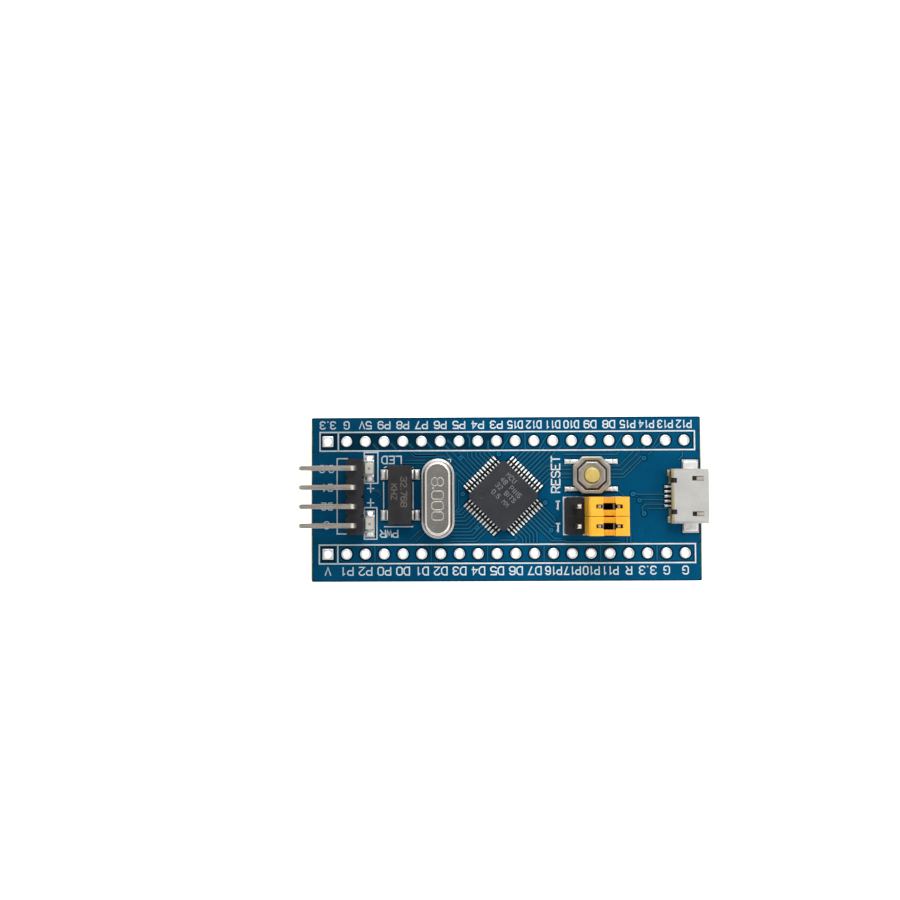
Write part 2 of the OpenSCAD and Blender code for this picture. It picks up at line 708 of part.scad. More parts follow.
// end cap of a chip part, wrapping five faces
module chip_end(s, h, w) difference() {
    block(s * 0.65, 0, 0, 0.32, w, h);
    block(s * 0.63, 0, 0.02, 0.32, w - 0.04, h - 0.04);
}
module chip_capacitor_bodies() color([0.68, 0.55, 0.4])
    at_caps() block(0, 0, pad_t + 0.02, 1.58, 0.76, 0.76);
module chip_capacitor_ends() color([0.82, 0.82, 0.8])
    at_caps() translate([0, 0, pad_t])
        for (s = [-1, 1]) chip_end(s, 0.8, 0.8);
module chip_resistor_bodies() color([0.9, 0.9, 0.88])
    at_ress() block(0, 0, pad_t + 0.02, 1.58, 0.76, 0.41);
module chip_resistor_coats() color([0.06, 0.06, 0.07])
    at_ress() block(0, 0, pad_t + 0.43, 0.96, 0.74, 0.03);
module chip_resistor_ends() color([0.82, 0.82, 0.8])
    at_ress() translate([0, 0, pad_t])
        for (s = [-1, 1]) chip_end(s, 0.45, 0.8);

// cone of solder round each soldered pin
module joint_cone(rp)
    rotate_extrude()
        polygon([[0, -pad_t], [rp, -pad_t], [rp * 0.72, -0.28],
            [0.42, -0.75], [0.36, -0.95], [0, -0.95]]);
module pin_solder_joints() color([0.8, 0.8, 0.78]) {
    difference() {
        union() {
            at_boot_pins() joint_cone(0.78);
            at_swd_pins() joint_cone(0.78);
        }
        at_boot_pins() pin_hole();
        at_swd_pins() pin_hole();
    }
    difference() {
        at_xtal_leads() joint_cone(0.72);
        at_xtal_leads() translate([0, 0, -3])
            cylinder(h = 6, r = xtal_lead_r);
    }
}

pcb_substrate();
header_hole_plating();
via_plating();
solder_pads();
mcu_body();
mcu_leads();
mcu_die();
mcu_die_paddle();
main_crystal_can();
main_crystal_base();
main_crystal_glass_seals();
main_crystal_leads();
main_crystal_clips();
main_crystal_quartz();
clock_crystal_body();
clock_crystal_terminals();
clock_crystal_cylinder();
clock_crystal_fork();
reset_switch_base();
reset_switch_cover();
reset_switch_terminals();
reset_switch_dome();
reset_button();
boot_header_strip();
boot_header_pins();
jumper_cap_upper();
jumper_cap_lower();
jumper_contact_upper();
jumper_contact_lower();
debug_header_strip();
debug_header_pins();
usb_shell();
usb_insulator();
usb_contacts();
status_led_base();
status_led_lens();
status_led_terminals();
power_led_base();
power_led_lens();
power_led_terminals();
led_dies();
regulator_body();
regulator_leads();
chip_capacitor_bodies();
chip_capacitor_ends();
chip_resistor_bodies();
chip_resistor_coats();
chip_resistor_ends();
pin_solder_joints();
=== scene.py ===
import math
import random

import bmesh
import bpy
from mathutils import Matrix, Vector
from mathutils.geometry import tessellate_polygon


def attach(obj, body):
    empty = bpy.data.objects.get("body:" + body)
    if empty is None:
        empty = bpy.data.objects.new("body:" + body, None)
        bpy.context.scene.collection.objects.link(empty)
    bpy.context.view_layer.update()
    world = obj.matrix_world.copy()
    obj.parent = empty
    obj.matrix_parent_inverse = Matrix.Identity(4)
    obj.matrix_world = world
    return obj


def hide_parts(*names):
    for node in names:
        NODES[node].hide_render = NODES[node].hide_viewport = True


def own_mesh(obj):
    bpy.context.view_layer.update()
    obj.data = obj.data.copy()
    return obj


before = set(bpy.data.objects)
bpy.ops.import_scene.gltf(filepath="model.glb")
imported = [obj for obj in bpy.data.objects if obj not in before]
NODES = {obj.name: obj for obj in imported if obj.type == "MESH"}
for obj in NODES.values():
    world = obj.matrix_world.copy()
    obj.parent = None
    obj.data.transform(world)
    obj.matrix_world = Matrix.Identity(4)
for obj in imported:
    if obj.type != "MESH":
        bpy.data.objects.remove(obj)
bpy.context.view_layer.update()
scene = bpy.context.scene
rng = random.Random(7)


# ------------------------------------------------------------------ materials
def srgb(r, g, b, k=1.0):
    def f(c):
        c = c / 255.0
        return c / 12.92 if c <= 0.04045 else ((c + 0.055) / 1.055) ** 2.4

    return (min(1, f(r) * k), min(1, f(g) * k), min(1, f(b) * k), 1.0)


class Mat:
    """A principled material with a few node helpers. Coordinates are the object's, in metres."""

    def __init__(self, name, **values):
        self.m = bpy.data.materials.new(name)
        self.m.use_nodes = True
        self.nt = self.m.node_tree
        self.nt.nodes.clear()
        out = self.nt.nodes.new("ShaderNodeOutputMaterial")
        self.p = self.nt.nodes.new("ShaderNodeBsdfPrincipled")
        self.nt.links.new(self.p.outputs[0], out.inputs[0])
        tc = self.nt.nodes.new("ShaderNodeTexCoord")
        self.co = tc.outputs["Object"]
        self.nrm = tc.outputs["Normal"]
        for k, v in values.items():
            self.p.inputs[k.replace("_", " ")].default_value = v

    def link(self, value, socket):
        if hasattr(value, "is_output"):
            self.nt.links.new(value, socket)
        else:
            socket.default_value = value

    def stretch(self, sx, sy, sz, rot=0.0):
        n = self.nt.nodes.new("ShaderNodeMapping")
        self.nt.links.new(self.co, n.inputs["Vector"])
        n.inputs["Rotation"].default_value = (0, 0, rot)
        n.inputs["Scale"].default_value = (sx, sy, sz)
        return n.outputs[0]

    def noise(self, scale, detail=3.0, rough=0.55, vec=None):
        n = self.nt.nodes.new("ShaderNodeTexNoise")
        self.nt.links.new(vec or self.co, n.inputs["Vector"])
        n.inputs["Scale"].default_value = scale
        n.inputs["Detail"].default_value = detail
        n.inputs["Roughness"].default_value = rough
        return n.outputs["Fac"]

    def cells(self, scale, vec=None, feature="F1"):
        n = self.nt.nodes.new("ShaderNodeTexVoronoi")
        n.feature = feature
        self.nt.links.new(vec or self.co, n.inputs["Vector"])
        n.inputs["Scale"].default_value = scale
        return n.outputs["Distance"]

    def ramp(self, fac, stops):
        n = self.nt.nodes.new("ShaderNodeValToRGB")
        self.link(fac, n.inputs[0])
        e = n.color_ramp.elements
        while len(e) < len(stops):
            e.new(0.5)
        for el, (pos, col) in zip(e, stops):
            el.position = pos
            el.color = col if hasattr(col, "__len__") else (col, col, col, 1)
        return n.outputs[0]

    def mix(self, fac, a, b):
        n = self.nt.nodes.new("ShaderNodeMix")
        n.data_type = "RGBA"
        self.link(fac, n.inputs[0])
        self.link(a, n.inputs[6])
        self.link(b, n.inputs[7])
        return n.outputs[2]

    def remap(self, v, a, b, c, d):
        n = self.nt.nodes.new("ShaderNodeMapRange")
        self.link(v, n.inputs[0])
        for i, x in enumerate((a, b, c, d)):
            n.inputs[i + 1].default_value = x
        return n.outputs[0]

    def math(self, op, a, b=0.0):
        n = self.nt.nodes.new("ShaderNodeMath")
        n.operation = op
        self.link(a, n.inputs[0])
        self.link(b, n.inputs[1])
        return n.outputs[0]

    def xyz(self, vec):
        n = self.nt.nodes.new("ShaderNodeSeparateXYZ")
        self.nt.links.new(vec, n.inputs[0])
        return n.outputs

    def bump(self, height, strength, dist, under=None):
        n = self.nt.nodes.new("ShaderNodeBump")
        n.inputs["Strength"].default_value = strength
        n.inputs["Distance"].default_value = dist
        self.link(height, n.inputs["Height"])
        if under is not None:
            self.nt.links.new(under, n.inputs["Normal"])
        return n.outputs[0]

    def use(self, color=None, rough=None, normal=None, metal=None):
        if color is not None:
            self.link(color, self.p.inputs["Base Color"])
        if rough is not None:
            self.link(rough, self.p.inputs["Roughness"])
        if normal is not None:
            self.link(normal, self.p.inputs["Normal"])
        if metal is not None:
            self.link(metal, self.p.inputs["Metallic"])
        return self.m


def metal(name, light, dark, rough, grain=9000, patch=500, bump=0.35,
          depth=1.5e-6, brushed=None, flow=None):
    """Plated metal: patchy tone, uneven gloss and a fine surface grain."""
    g = Mat(name, Metallic=1.0)
    vec = g.stretch(*brushed) if brushed else None
    tone = g.noise(patch, 4, 0.6, flow and g.stretch(*flow))
    fine = g.noise(1.0 if brushed else grain, 3, 0.6, vec)
    col = g.mix(g.remap(tone, 0.32, 0.68, 0, 1), dark, light)
    both = g.math("ADD", g.math("MULTIPLY", tone, 0.6),
                  g.math("MULTIPLY", fine, 0.4))
    return g.use(col, g.remap(both, 0.3, 0.7, rough[0], rough[1]),
                 g.bump(fine, bump, depth))


def plastic(name, light, dark, rough, grain=7000, patch=450, bump=0.4,
            depth=2.5e-6, spec=0.5, sss=0.0, speck=None):
    """Moulded plastic: slow tone changes, fine moulding texture."""
    g = Mat(name)
    g.p.inputs["Specular IOR Level"].default_value = spec
    if sss:
        g.p.inputs["Subsurface Weight"].default_value = sss
        g.p.inputs["Subsurface Scale"].default_value = 0.0006
        g.p.inputs["Subsurface Radius"].default_value = (1.0, 0.5, 0.15)
    tone = g.noise(patch, 4, 0.6)
    fine = g.noise(grain, 3, 0.65)
    col = g.mix(g.remap(tone, 0.3, 0.7, 0, 1), dark, light)
    if speck is not None:
        col = g.mix(g.remap(fine, 0.56, 0.74, 0, 1), col, speck)
    return g.use(col, g.remap(g.math("ADD", g.math("MULTIPLY", tone, 0.5),
                                     g.math("MULTIPLY", fine, 0.5)),
                              0.3, 0.7, rough[0], rough[1]),
                 g.bump(fine, bump, depth))


def mask_paint(name, light, dark, rough=(0.2, 0.3), shade=True):
    """Blue solder mask: thick glossy lacquer over glass cloth; with shade on, painted shade
    darkens it towards the left (-x) end.
    """
    g = Mat(name)
    g.p.inputs["Specular IOR Level"].default_value = 0.08
    tone = g.noise(260, 5, 0.62)
    cloth_a = g.noise(1.0, 2, 0.5, g.stretch(500, 4200, 500))
    cloth_b = g.noise(1.0, 2, 0.5, g.stretch(4200, 500, 500))
    cloth = g.math("MULTIPLY", g.math("ADD", cloth_a, cloth_b), 0.5)
    fine = g.noise(12000, 2, 0.6)
    col = g.mix(g.remap(tone, 0.3, 0.7, 0, 1), dark, light)
    # painted shade: the mask colour is multiplied down towards the left end of the board,
    # standing in for less light falling there
    if shade:
        x = g.xyz(g.co)[0]
        far = g.ramp(g.remap(x, -0.026, 0.026, 0, 1),
                     [(0.0, 0.65), (0.27, 0.71), (0.5, 0.93), (1.0, 1.0)])
        n = g.nt.nodes.new("ShaderNodeMix")
        n.data_type = "RGBA"
        n.blend_type = "MULTIPLY"
        n.inputs[0].default_value = 1.0
        g.link(col, n.inputs[6])
        g.link(far, n.inputs[7])
        col = n.outputs[2]
    normal = g.bump(fine, 0.2, 1e-6, g.bump(cloth, 0.3, 2e-6))
    return g, col, g.remap(g.math("ADD", g.math("MULTIPLY", tone, 0.5),
                                  g.math("MULTIPLY", cloth, 0.5)),
                           0.35, 0.65, rough[0], rough[1]), normal


def board_material():
    g, col, rough, normal = mask_paint("solder_mask_board",
                                       srgb(2, 56, 82), srgb(0, 48, 71))
    nz = g.math("ABSOLUTE", g.xyz(g.nrm)[2])
    side = g.math("LESS_THAN", nz, 0.5)
    z = g.xyz(g.co)[2]
    # bare laminate where the mask stops short of the routed ends
    wav = g.math("MULTIPLY", g.math("SUBTRACT", g.noise(900, 2, 0.5), 0.5),
                 0.00008)
    x = g.math("ABSOLUTE", g.xyz(g.co)[0])
    lip = g.math("GREATER_THAN", g.math("ADD", x, wav), 0.02629)
    plies = g.noise(1.0, 2, 0.6, g.stretch(260, 260, 9000))
    fibres = g.noise(1.0, 2, 0.6, g.stretch(4200, 4200, 1500))
    lam = g.mix(g.remap(plies, 0.35, 0.65, 0, 1),
                srgb(164, 158, 116), srgb(196, 190, 148))
    lam = g.mix(g.remap(fibres, 0.55, 0.75, 0, 0.35), lam,
                srgb(214, 209, 172))
    skin = g.math("GREATER_THAN",
                  g.math("ABSOLUTE", g.math("SUBTRACT", z, 0.0008)), 0.00073)
    lam = g.mix(skin, lam, srgb(20, 70, 96))
    bare = g.math("MAXIMUM", side, lip)
    edge = g.mix(side, srgb(196, 196, 140), lam)
    return g.use(g.mix(bare, col, edge),
                 g.remap(bare, 0, 1, 0.26, 0.7), normal)


MASK_BOARD = board_material()
MASK_POUR = (lambda g: g[0].use(g[1], g[2], g[3]))(
    mask_paint("solder_mask_over_copper", srgb(0, 83, 123),
               srgb(0, 75, 111)))
MASK_TRACE = (lambda g: g[0].use(g[1], g[2], g[3]))(
    mask_paint("solder_mask_over_trace", srgb(34, 112, 149),
               srgb(20, 96, 131), (0.2, 0.3)))
MASK_GAP = (lambda g: g[0].use(g[1], g[2], g[3]))(
    mask_paint("solder_mask_in_gap", srgb(0, 62, 92), srgb(0, 53, 80)))
MASK_RIM = (lambda g: g[0].use(g[1], g[2], g[3]))(
    mask_paint("solder_mask_at_pad_edge", srgb(0, 46, 68), srgb(0, 38, 57)))
MASK_VIA = (lambda g: g[0].use(g[1], g[2], g[3]))(
    mask_paint("solder_mask_on_via", srgb(48, 122, 158),
               srgb(30, 104, 140), (0.2, 0.3)))


def silk_material():
    """White ink: a little thin in places, on glossy mask, with painted shade towards the left
    end.
    """
    g = Mat("silkscreen_ink")
    g.p.inputs["Specular IOR Level"].default_value = 0.3
    tone = g.noise(900, 4, 0.6)
    fine = g.noise(9000, 3, 0.65)
    col = g.mix(g.remap(tone, 0.3, 0.7, 0, 1), srgb(214, 226, 232),
                srgb(240, 246, 249))
    col = g.mix(g.remap(fine, 0.58, 0.76, 0, 1), col, srgb(150, 178, 196))
    # painted shade: the ink is mixed towards grey-blue from x = -4 mm to the left end, copying
    # the shade on the mask
    x = g.xyz(g.co)[0]
    col = g.mix(g.remap(x, -0.024, -0.004, 0.62, 0), col,
                srgb(120, 140, 152))
    return g.use(col, g.remap(fine, 0.3, 0.7, 0.5, 0.75),
                 g.bump(fine, 0.5, 3e-6))


SILK = silk_material()
TIN = metal("tinned_copper", srgb(253, 253, 252), srgb(238, 237, 235),
            (0.26, 0.42), grain=5000, patch=1400, bump=0.4, depth=2e-6)
SOLDER = metal("solder", srgb(254, 254, 253), srgb(238, 236, 233),
               (0.36, 0.5), grain=3500, patch=1500, bump=0.4, depth=2.5e-6)
LEAD = metal("lead_tin", srgb(254, 254, 252), srgb(236, 234, 230),
             (0.36, 0.5), grain=8000, patch=1600, bump=0.4, depth=1.5e-6)


def pin_material():
    """Bright rounded corners and darker flats: painted highlight on the corners and painted
    shade on the flats, by which way the faces point.
    """
    g = Mat("pin_plating", Metallic=1.0)
    nz = g.math("ABSOLUTE", g.xyz(g.nrm)[2])
    tone = g.noise(1.0, 3, 0.6, g.stretch(500, 5200, 5200))
    fine = g.noise(8000, 3, 0.6)
    edge = g.mix(g.remap(tone, 0.3, 0.7, 0, 1), srgb(214, 205, 194),
                 srgb(236, 229, 220))
    flat = g.mix(g.remap(tone, 0.35, 0.65, 0, 1), srgb(170, 160, 149),
                 srgb(208, 199, 188))
    # painted highlight and shade: faces pointing up or down get the darker flat colour, the
    # rounded corners the brighter one
    return g.use(g.mix(g.remap(nz, 0.93, 0.995, 0, 1), edge, flat),
                 g.remap(fine, 0.3, 0.7, 0.34, 0.42),
                 g.bump(fine, 0.3, 1e-6))


PIN = pin_material()


def upright_pin_material():
    """Bright cut top and darker sides: the sides are painted darker as shade, by which way they
    face.
    """
    g = Mat("pin_plating_upright", Metallic=1.0)
    nz = g.xyz(g.nrm)[2]
    tone = g.noise(1200, 4, 0.6)
    fine = g.noise(1.0, 3, 0.6, g.stretch(7000, 7000, 500))
    top = g.mix(g.remap(tone, 0.3, 0.7, 0, 1), srgb(236, 228, 218),
                srgb(252, 248, 242))
    wall = g.mix(g.remap(tone, 0.3, 0.7, 0, 1), srgb(150, 142, 132),
                 srgb(182, 174, 162))
    # painted shade: faces turned sideways get the dark wall colour, faces turned up the bright
    # top colour
    return g.use(g.mix(g.remap(nz, 0.2, 0.7, 0, 1), wall, top),
                 g.math("ADD", g.remap(fine, 0.3, 0.7, 0.12, 0.2),
                        g.math("MULTIPLY", g.remap(nz, 0.2, 0.7, 0, 1),
                               0.2)),
                 g.bump(fine, 0.35, 1e-6))


PIN_UP = upright_pin_material()


def usb_contact_material():
    """Gold on the tongue, tin on the soldered tails."""
    g = Mat("usb_contact_plating", Metallic=1.0)
    tone = g.noise(1300, 4, 0.6)
    gold = g.mix(g.remap(tone, 0.3, 0.7, 0, 1), srgb(214, 184, 118),
                 srgb(240, 214, 150))
    tin = g.mix(g.remap(tone, 0.3, 0.7, 0, 1), srgb(224, 222, 218),
                srgb(250, 249, 247))
    tail = g.math("LESS_THAN", g.xyz(g.co)[0], 0.0223)
    return g.use(g.mix(tail, gold, tin), g.remap(tone, 0.3, 0.7, 0.18, 0.34),
                 g.bump(g.noise(8000, 3, 0.6), 0.35, 1.5e-6))


USB_CONTACT = usb_contact_material()
GOLD = metal("contact_plating", srgb(240, 214, 150), srgb(214, 184, 118),
             (0.15, 0.32), patch=1300)
CONTACT = metal("spring_contact", srgb(240, 233, 222), srgb(200, 188, 172),
                (0.16, 0.34), patch=1300)


def shell_material():
    """Matte tin plate, with painted shade darkening it inside the receptacle, tan at its cut
    rear.
    """
    g = Mat("shell_tin", Metallic=1.0)
    tone = g.noise(420, 4, 0.6)
    fine = g.noise(6500, 3, 0.6)
    col = g.mix(g.remap(tone, 0.3, 0.7, 0, 1), srgb(208, 207, 203),
                srgb(224, 223, 219))
    pos = g.xyz(g.co)
    col = g.mix(g.remap(fine, 0.5, 0.72, 0, 0.5), col,
                srgb(190, 188, 183))
    # painted shade: low surfaces within the receptacle's width get a dark brown-grey colour,
    # standing in for the shade inside it
    inner = g.math("MULTIPLY", g.math("LESS_THAN", pos[2], 0.00215),
                   g.math("LESS_THAN", g.math("ABSOLUTE", pos[1]), 0.0035))
    col = g.mix(inner, col, srgb(96, 90, 78))
    rear = g.math("LESS_THAN", pos[0], 0.02232)
    col = g.mix(rear, col, srgb(186, 180, 152))
    return g.use(col, g.remap(fine, 0.3, 0.7, 0.38, 0.52),
                 g.bump(fine, 0.55, 3e-6))


SHELL = shell_material()
SWITCH = metal("switch_cover_steel", srgb(206, 200, 190),
               srgb(182, 174, 162), (0.28, 0.42), grain=7000, patch=500,
               bump=0.45, depth=2e-6)
BRASS = metal("button_brass", srgb(232, 213, 140), srgb(212, 190, 112),
              (0.4, 0.58), grain=6500, patch=900, bump=0.7, depth=3e-6)
DOME = metal("dome_steel", srgb(214, 212, 206), srgb(190, 187, 180),
             (0.18, 0.3))
COPPER = metal("paddle_copper", srgb(220, 150, 110), srgb(184, 112, 76),
               (0.25, 0.4))
MOULD = plastic("mould_compound", srgb(49, 51, 55), srgb(42, 44, 48),
                (0.34, 0.5), grain=8500, bump=0.6, depth=3e-6, spec=0.35,
                speck=srgb(60, 62, 66))
MOULD_CLOCK = plastic("mould_compound_clock", srgb(42, 42, 44),
                      srgb(30, 30, 33), (0.34, 0.5), grain=6000, bump=0.7,
                      depth=4e-6, spec=0.35, speck=srgb(54, 53, 55))
MARK = plastic("laser_mark", srgb(152, 152, 152), srgb(128, 128, 129),
               (0.6, 0.85), grain=12000, bump=0.6, depth=3e-6, spec=0.3,
               speck=srgb(100, 100, 102))
MARK_CLOCK = plastic("laser_mark_clock", srgb(112, 104, 98),
                     srgb(92, 86, 82), (0.6, 0.85), grain=12000, bump=0.6,
                     depth=3e-6, spec=0.3)
BLACK = plastic("header_plastic", srgb(38, 38, 42), srgb(27, 27, 31),
                (0.34, 0.5), grain=5000, bump=0.6, depth=4e-6, spec=0.35,
                speck=srgb(54, 54, 58))
BASE_BLACK = plastic("switch_base_plastic", srgb(38, 38, 40),
                     srgb(26, 26, 28), (0.4, 0.6), spec=0.4)


def jumper_material():
    """Translucent yellow nylon, with painted shade: a darker orange in the middle of the cap
    below its top, where the recess is.
    """
    g = Mat("jumper_plastic")
    g.p.inputs["Specular IOR Level"].default_value = 0.35
    g.p.inputs["Subsurface Weight"].default_value = 0.2
    g.p.inputs["Subsurface Scale"].default_value = 0.0005
    g.p.inputs["Subsurface Radius"].default_value = (1.0, 0.5, 0.12)
    tone = g.noise(500, 4, 0.6)
    fine = g.noise(4200, 3, 0.65)
    col = g.mix(g.remap(tone, 0.3, 0.7, 0, 1), srgb(250, 182, 42),
                srgb(255, 196, 60))
    pos = g.xyz(g.co)
    # painted shade: a strip 1.5 mm wide across the cap's middle, below the top, is mixed to a
    # darker streaky orange
    near = g.math("LESS_THAN",
                  g.math("ABSOLUTE", g.math("SUBTRACT", pos[0], 0.01292)),
                  0.00076)
    lev = g.math("LESS_THAN", pos[2], 0.01048)
    recess_painted_shade = g.math("MULTIPLY", near, lev)
    streak = g.noise(1.0, 2, 0.5, g.stretch(7000, 300, 300))
    recess_shade_orange = g.mix(g.remap(streak, 0.35, 0.65, 0, 1), srgb(231, 150, 12),
                 srgb(243, 167, 24))
    col = g.mix(recess_painted_shade, col, recess_shade_orange)
    return g.use(col, g.remap(fine, 0.3, 0.7, 0.36, 0.52),
                 g.bump(fine, 0.5, 4e-6))


YELLOW = jumper_material()
SEAL = plastic("glass_bead", srgb(52, 66, 78), srgb(34, 44, 56), (0.1, 0.2))
QUARTZ = plastic("quartz_plate", srgb(226, 229, 226), srgb(206, 212, 210),
                 (0.08, 0.2))
DIE = metal("silicon", srgb(120, 124, 138), srgb(92, 96, 112), (0.12, 0.25))
LED_BASE = plastic("led_laminate", srgb(236, 232, 218), srgb(218, 212, 194),
                   (0.4, 0.6), grain=6000)
LENS = plastic("led_epoxy", srgb(228, 224, 216), srgb(208, 204, 194),
               (0.16, 0.32), grain=5000, bump=0.5, depth=4e-6, sss=0.4)
LENS.node_tree.nodes["Principled BSDF"].inputs[
    "Transmission Weight"].default_value = 0.12
GREEN = plastic("led_polarity_ink", srgb(46, 128, 92), srgb(30, 100, 70),
                (0.45, 0.65), grain=9000)
LED_DOT = plastic("led_bond_window", srgb(120, 118, 112),
                  srgb(96, 94, 90), (0.3, 0.45))
TAN = plastic("capacitor_ceramic", srgb(180, 146, 104), srgb(156, 122, 84),
              (0.35, 0.55), grain=5200, bump=0.6, depth=4e-6,
              speck=srgb(196, 166, 126))
WHITE = plastic("resistor_ceramic", srgb(236, 236, 232),
                srgb(216, 216, 210), (0.4, 0.6), grain=6000)
COAT = plastic("resistor_coat", srgb(30, 30, 34), srgb(20, 20, 24),
               (0.15, 0.3), grain=6000)
DIGIT = plastic("resistor_print", srgb(226, 226, 222), srgb(200, 200, 196),
                (0.5, 0.7), grain=9000)


def can_material():
    """Nickel can: satin on top, polished on its rounded rim and wall; the flat top, the wall and
    the drawn radius at its foot carry painted shade.
    """
    g = Mat("crystal_can_nickel", Metallic=1.0)
    nz = g.xyz(g.nrm)[2]
    z = g.xyz(g.co)[2]
    top = g.math("MULTIPLY", g.math("GREATER_THAN", nz, 0.992),
                 g.math("GREATER_THAN", z, 0.004))
    tone = g.noise(420, 4, 0.6)
    fine = g.noise(5200, 3, 0.6)
    rim = g.mix(g.remap(tone, 0.3, 0.7, 0, 1), srgb(240, 234, 226),
                srgb(252, 249, 244))
    top_painted_shade = g.mix(g.remap(tone, 0.3, 0.7, 0, 1), srgb(130, 128, 124),
                srgb(146, 144, 140))
    top_painted_shade = g.mix(g.remap(fine, 0.5, 0.75, 0, 0.7), top_painted_shade, srgb(168, 165, 160))
    rough = g.math("ADD", g.remap(fine, 0.3, 0.7, 0.33, 0.4),
                   g.math("MULTIPLY", top, 0.07))
    # the upright wall, in the shade of the rim above it
    wall = g.math("MULTIPLY",
                  g.math("LESS_THAN", g.math("ABSOLUTE", nz), 0.55),
                  g.math("MULTIPLY", g.math("GREATER_THAN", z, 0.00236),
                         g.math("LESS_THAN", z, 0.00484)))
    rim = g.mix(wall, rim, srgb(150, 143, 136))
    # drawn fillet between the wall and the welded flange, painted dark brown: painted shade in
    # the crease, tinted warm as a painted reflection
    fillet_painted_shade = g.math("MULTIPLY", g.math("GREATER_THAN", z, 0.002284),
                    g.math("LESS_THAN", z, 0.00262))
    rim = g.mix(fillet_painted_shade, rim, srgb(100, 86, 76))
    # painted shade: the flat top takes a much darker nickel colour than the rim; only its higher
    # roughness is the real satin finish
    return g.use(g.mix(top, rim, top_painted_shade), rough,
                 g.bump(g.math("MULTIPLY", fine,
                               g.math("ADD", g.math("MULTIPLY", top, 0.94),
                                      0.06)), 0.6, 3.5e-6))


def lead_material():
    """Tinned lead frame: bright flats, with sloped bends and upright cuts painted dark brown as
    shade.
    """
    g = Mat("lead_frame_tin", Metallic=1.0)
    nz = g.xyz(g.nrm)[2]
    tone = g.noise(1600, 4, 0.6)
    fine = g.noise(8000, 3, 0.6)
    flat = g.mix(g.remap(tone, 0.3, 0.7, 0, 1), srgb(240, 238, 234),
                 srgb(254, 254, 252))
    bend_painted_shade = g.mix(g.remap(tone, 0.3, 0.7, 0, 1), srgb(76, 70, 54),
                 srgb(108, 100, 82))
    # painted shade: faces tilted away from upward get the dark brown colour, flat faces the
    # bright tin
    slope_painted_shade = g.remap(nz, 0.86, 0.97, 1, 0)
    return g.use(g.mix(slope_painted_shade, flat, bend_painted_shade),
                 g.remap(fine, 0.3, 0.7, 0.36, 0.5),
                 g.bump(fine, 0.4, 1.5e-6))


MCU_LEAD = lead_material()
CAN = can_material()
ENGRAVE = metal("crystal_numerals", srgb(226, 220, 208),
                srgb(204, 198, 186), (0.3, 0.5), grain=9000)


def base_material():
    g = Mat("crystal_base_ceramic")
    tone = g.noise(700, 4, 0.6)
    fine = g.noise(8000, 3, 0.6)
    return g.use(g.mix(g.remap(tone, 0.3, 0.7, 0, 1), srgb(176, 164, 146),
                       srgb(204, 194, 178)),
                 g.remap(fine, 0.3, 0.7, 0.35, 0.55),
                 g.bump(fine, 0.5, 3e-6))


CERAMIC = base_material()


# ------------------------------------------------------------- mesh builders
def close(name, bm, mat, body="board", smooth=32.0):
    """Turn a bmesh drawn in millimetres into a piece that rides on body."""
    bmesh.ops.recalc_face_normals(bm, faces=bm.faces)
    me = bpy.data.meshes.new(name)
    bm.to_mesh(me)
    bm.free()
    me.transform(Matrix.Scale(0.001, 4))
    me.polygons.foreach_set("use_smooth", [True] * len(me.polygons))
    me.set_sharp_from_angle(angle=math.radians(smooth))
    me.materials.append(mat)
    me.update()
    ob = bpy.data.objects.new(name, me)
    scene.collection.objects.link(ob)
    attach(ob, body)
    return ob


def refine(node, name, mat, width, seg=2, body="board",
           angle=28.0, crown=None, smooth=32.0, keep_flat=None):
    """A finished copy of a CAD node with softened edges, standing for it."""
    bm = bmesh.new()
    bm.from_mesh(NODES[node].data)
    bmesh.ops.transform(bm, matrix=Matrix.Scale(1000, 4), verts=bm.verts)
    bmesh.ops.remove_doubles(bm, verts=bm.verts, dist=1e-4)
    bmesh.ops.dissolve_limit(bm, angle_limit=math.radians(0.6),
                             verts=bm.verts, edges=bm.edges)
    edges = [e for e in bm.edges if len(e.link_faces) == 2
             and e.calc_face_angle(0) > math.radians(angle)
             and (keep_flat is None or not keep_flat(e))]
    if edges and width > 0:
        bmesh.ops.bevel(bm, geom=edges, offset=width, offset_type="OFFSET",
                        segments=seg, profile=0.5, affect="EDGES",
                        clamp_overlap=True, harden_normals=False)
    if crown:
        crown(bm)
    bmesh.ops.remove_doubles(bm, verts=bm.verts, dist=2e-4)
    ob = close(name, bm, mat, body, smooth)
    wn = ob.modifiers.new("weighted", "WEIGHTED_NORMAL")
    wn.mode = "FACE_AREA"
    wn.weight = 50
    wn.keep_sharp = True
    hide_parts(node)
    return ob


def keep(node, mat, smooth=None):
    """A CAD node that stays as it is, with a finished material."""
    ob = NODES[node]
    ob.data.materials.clear()
    ob.data.materials.append(mat)
    return ob


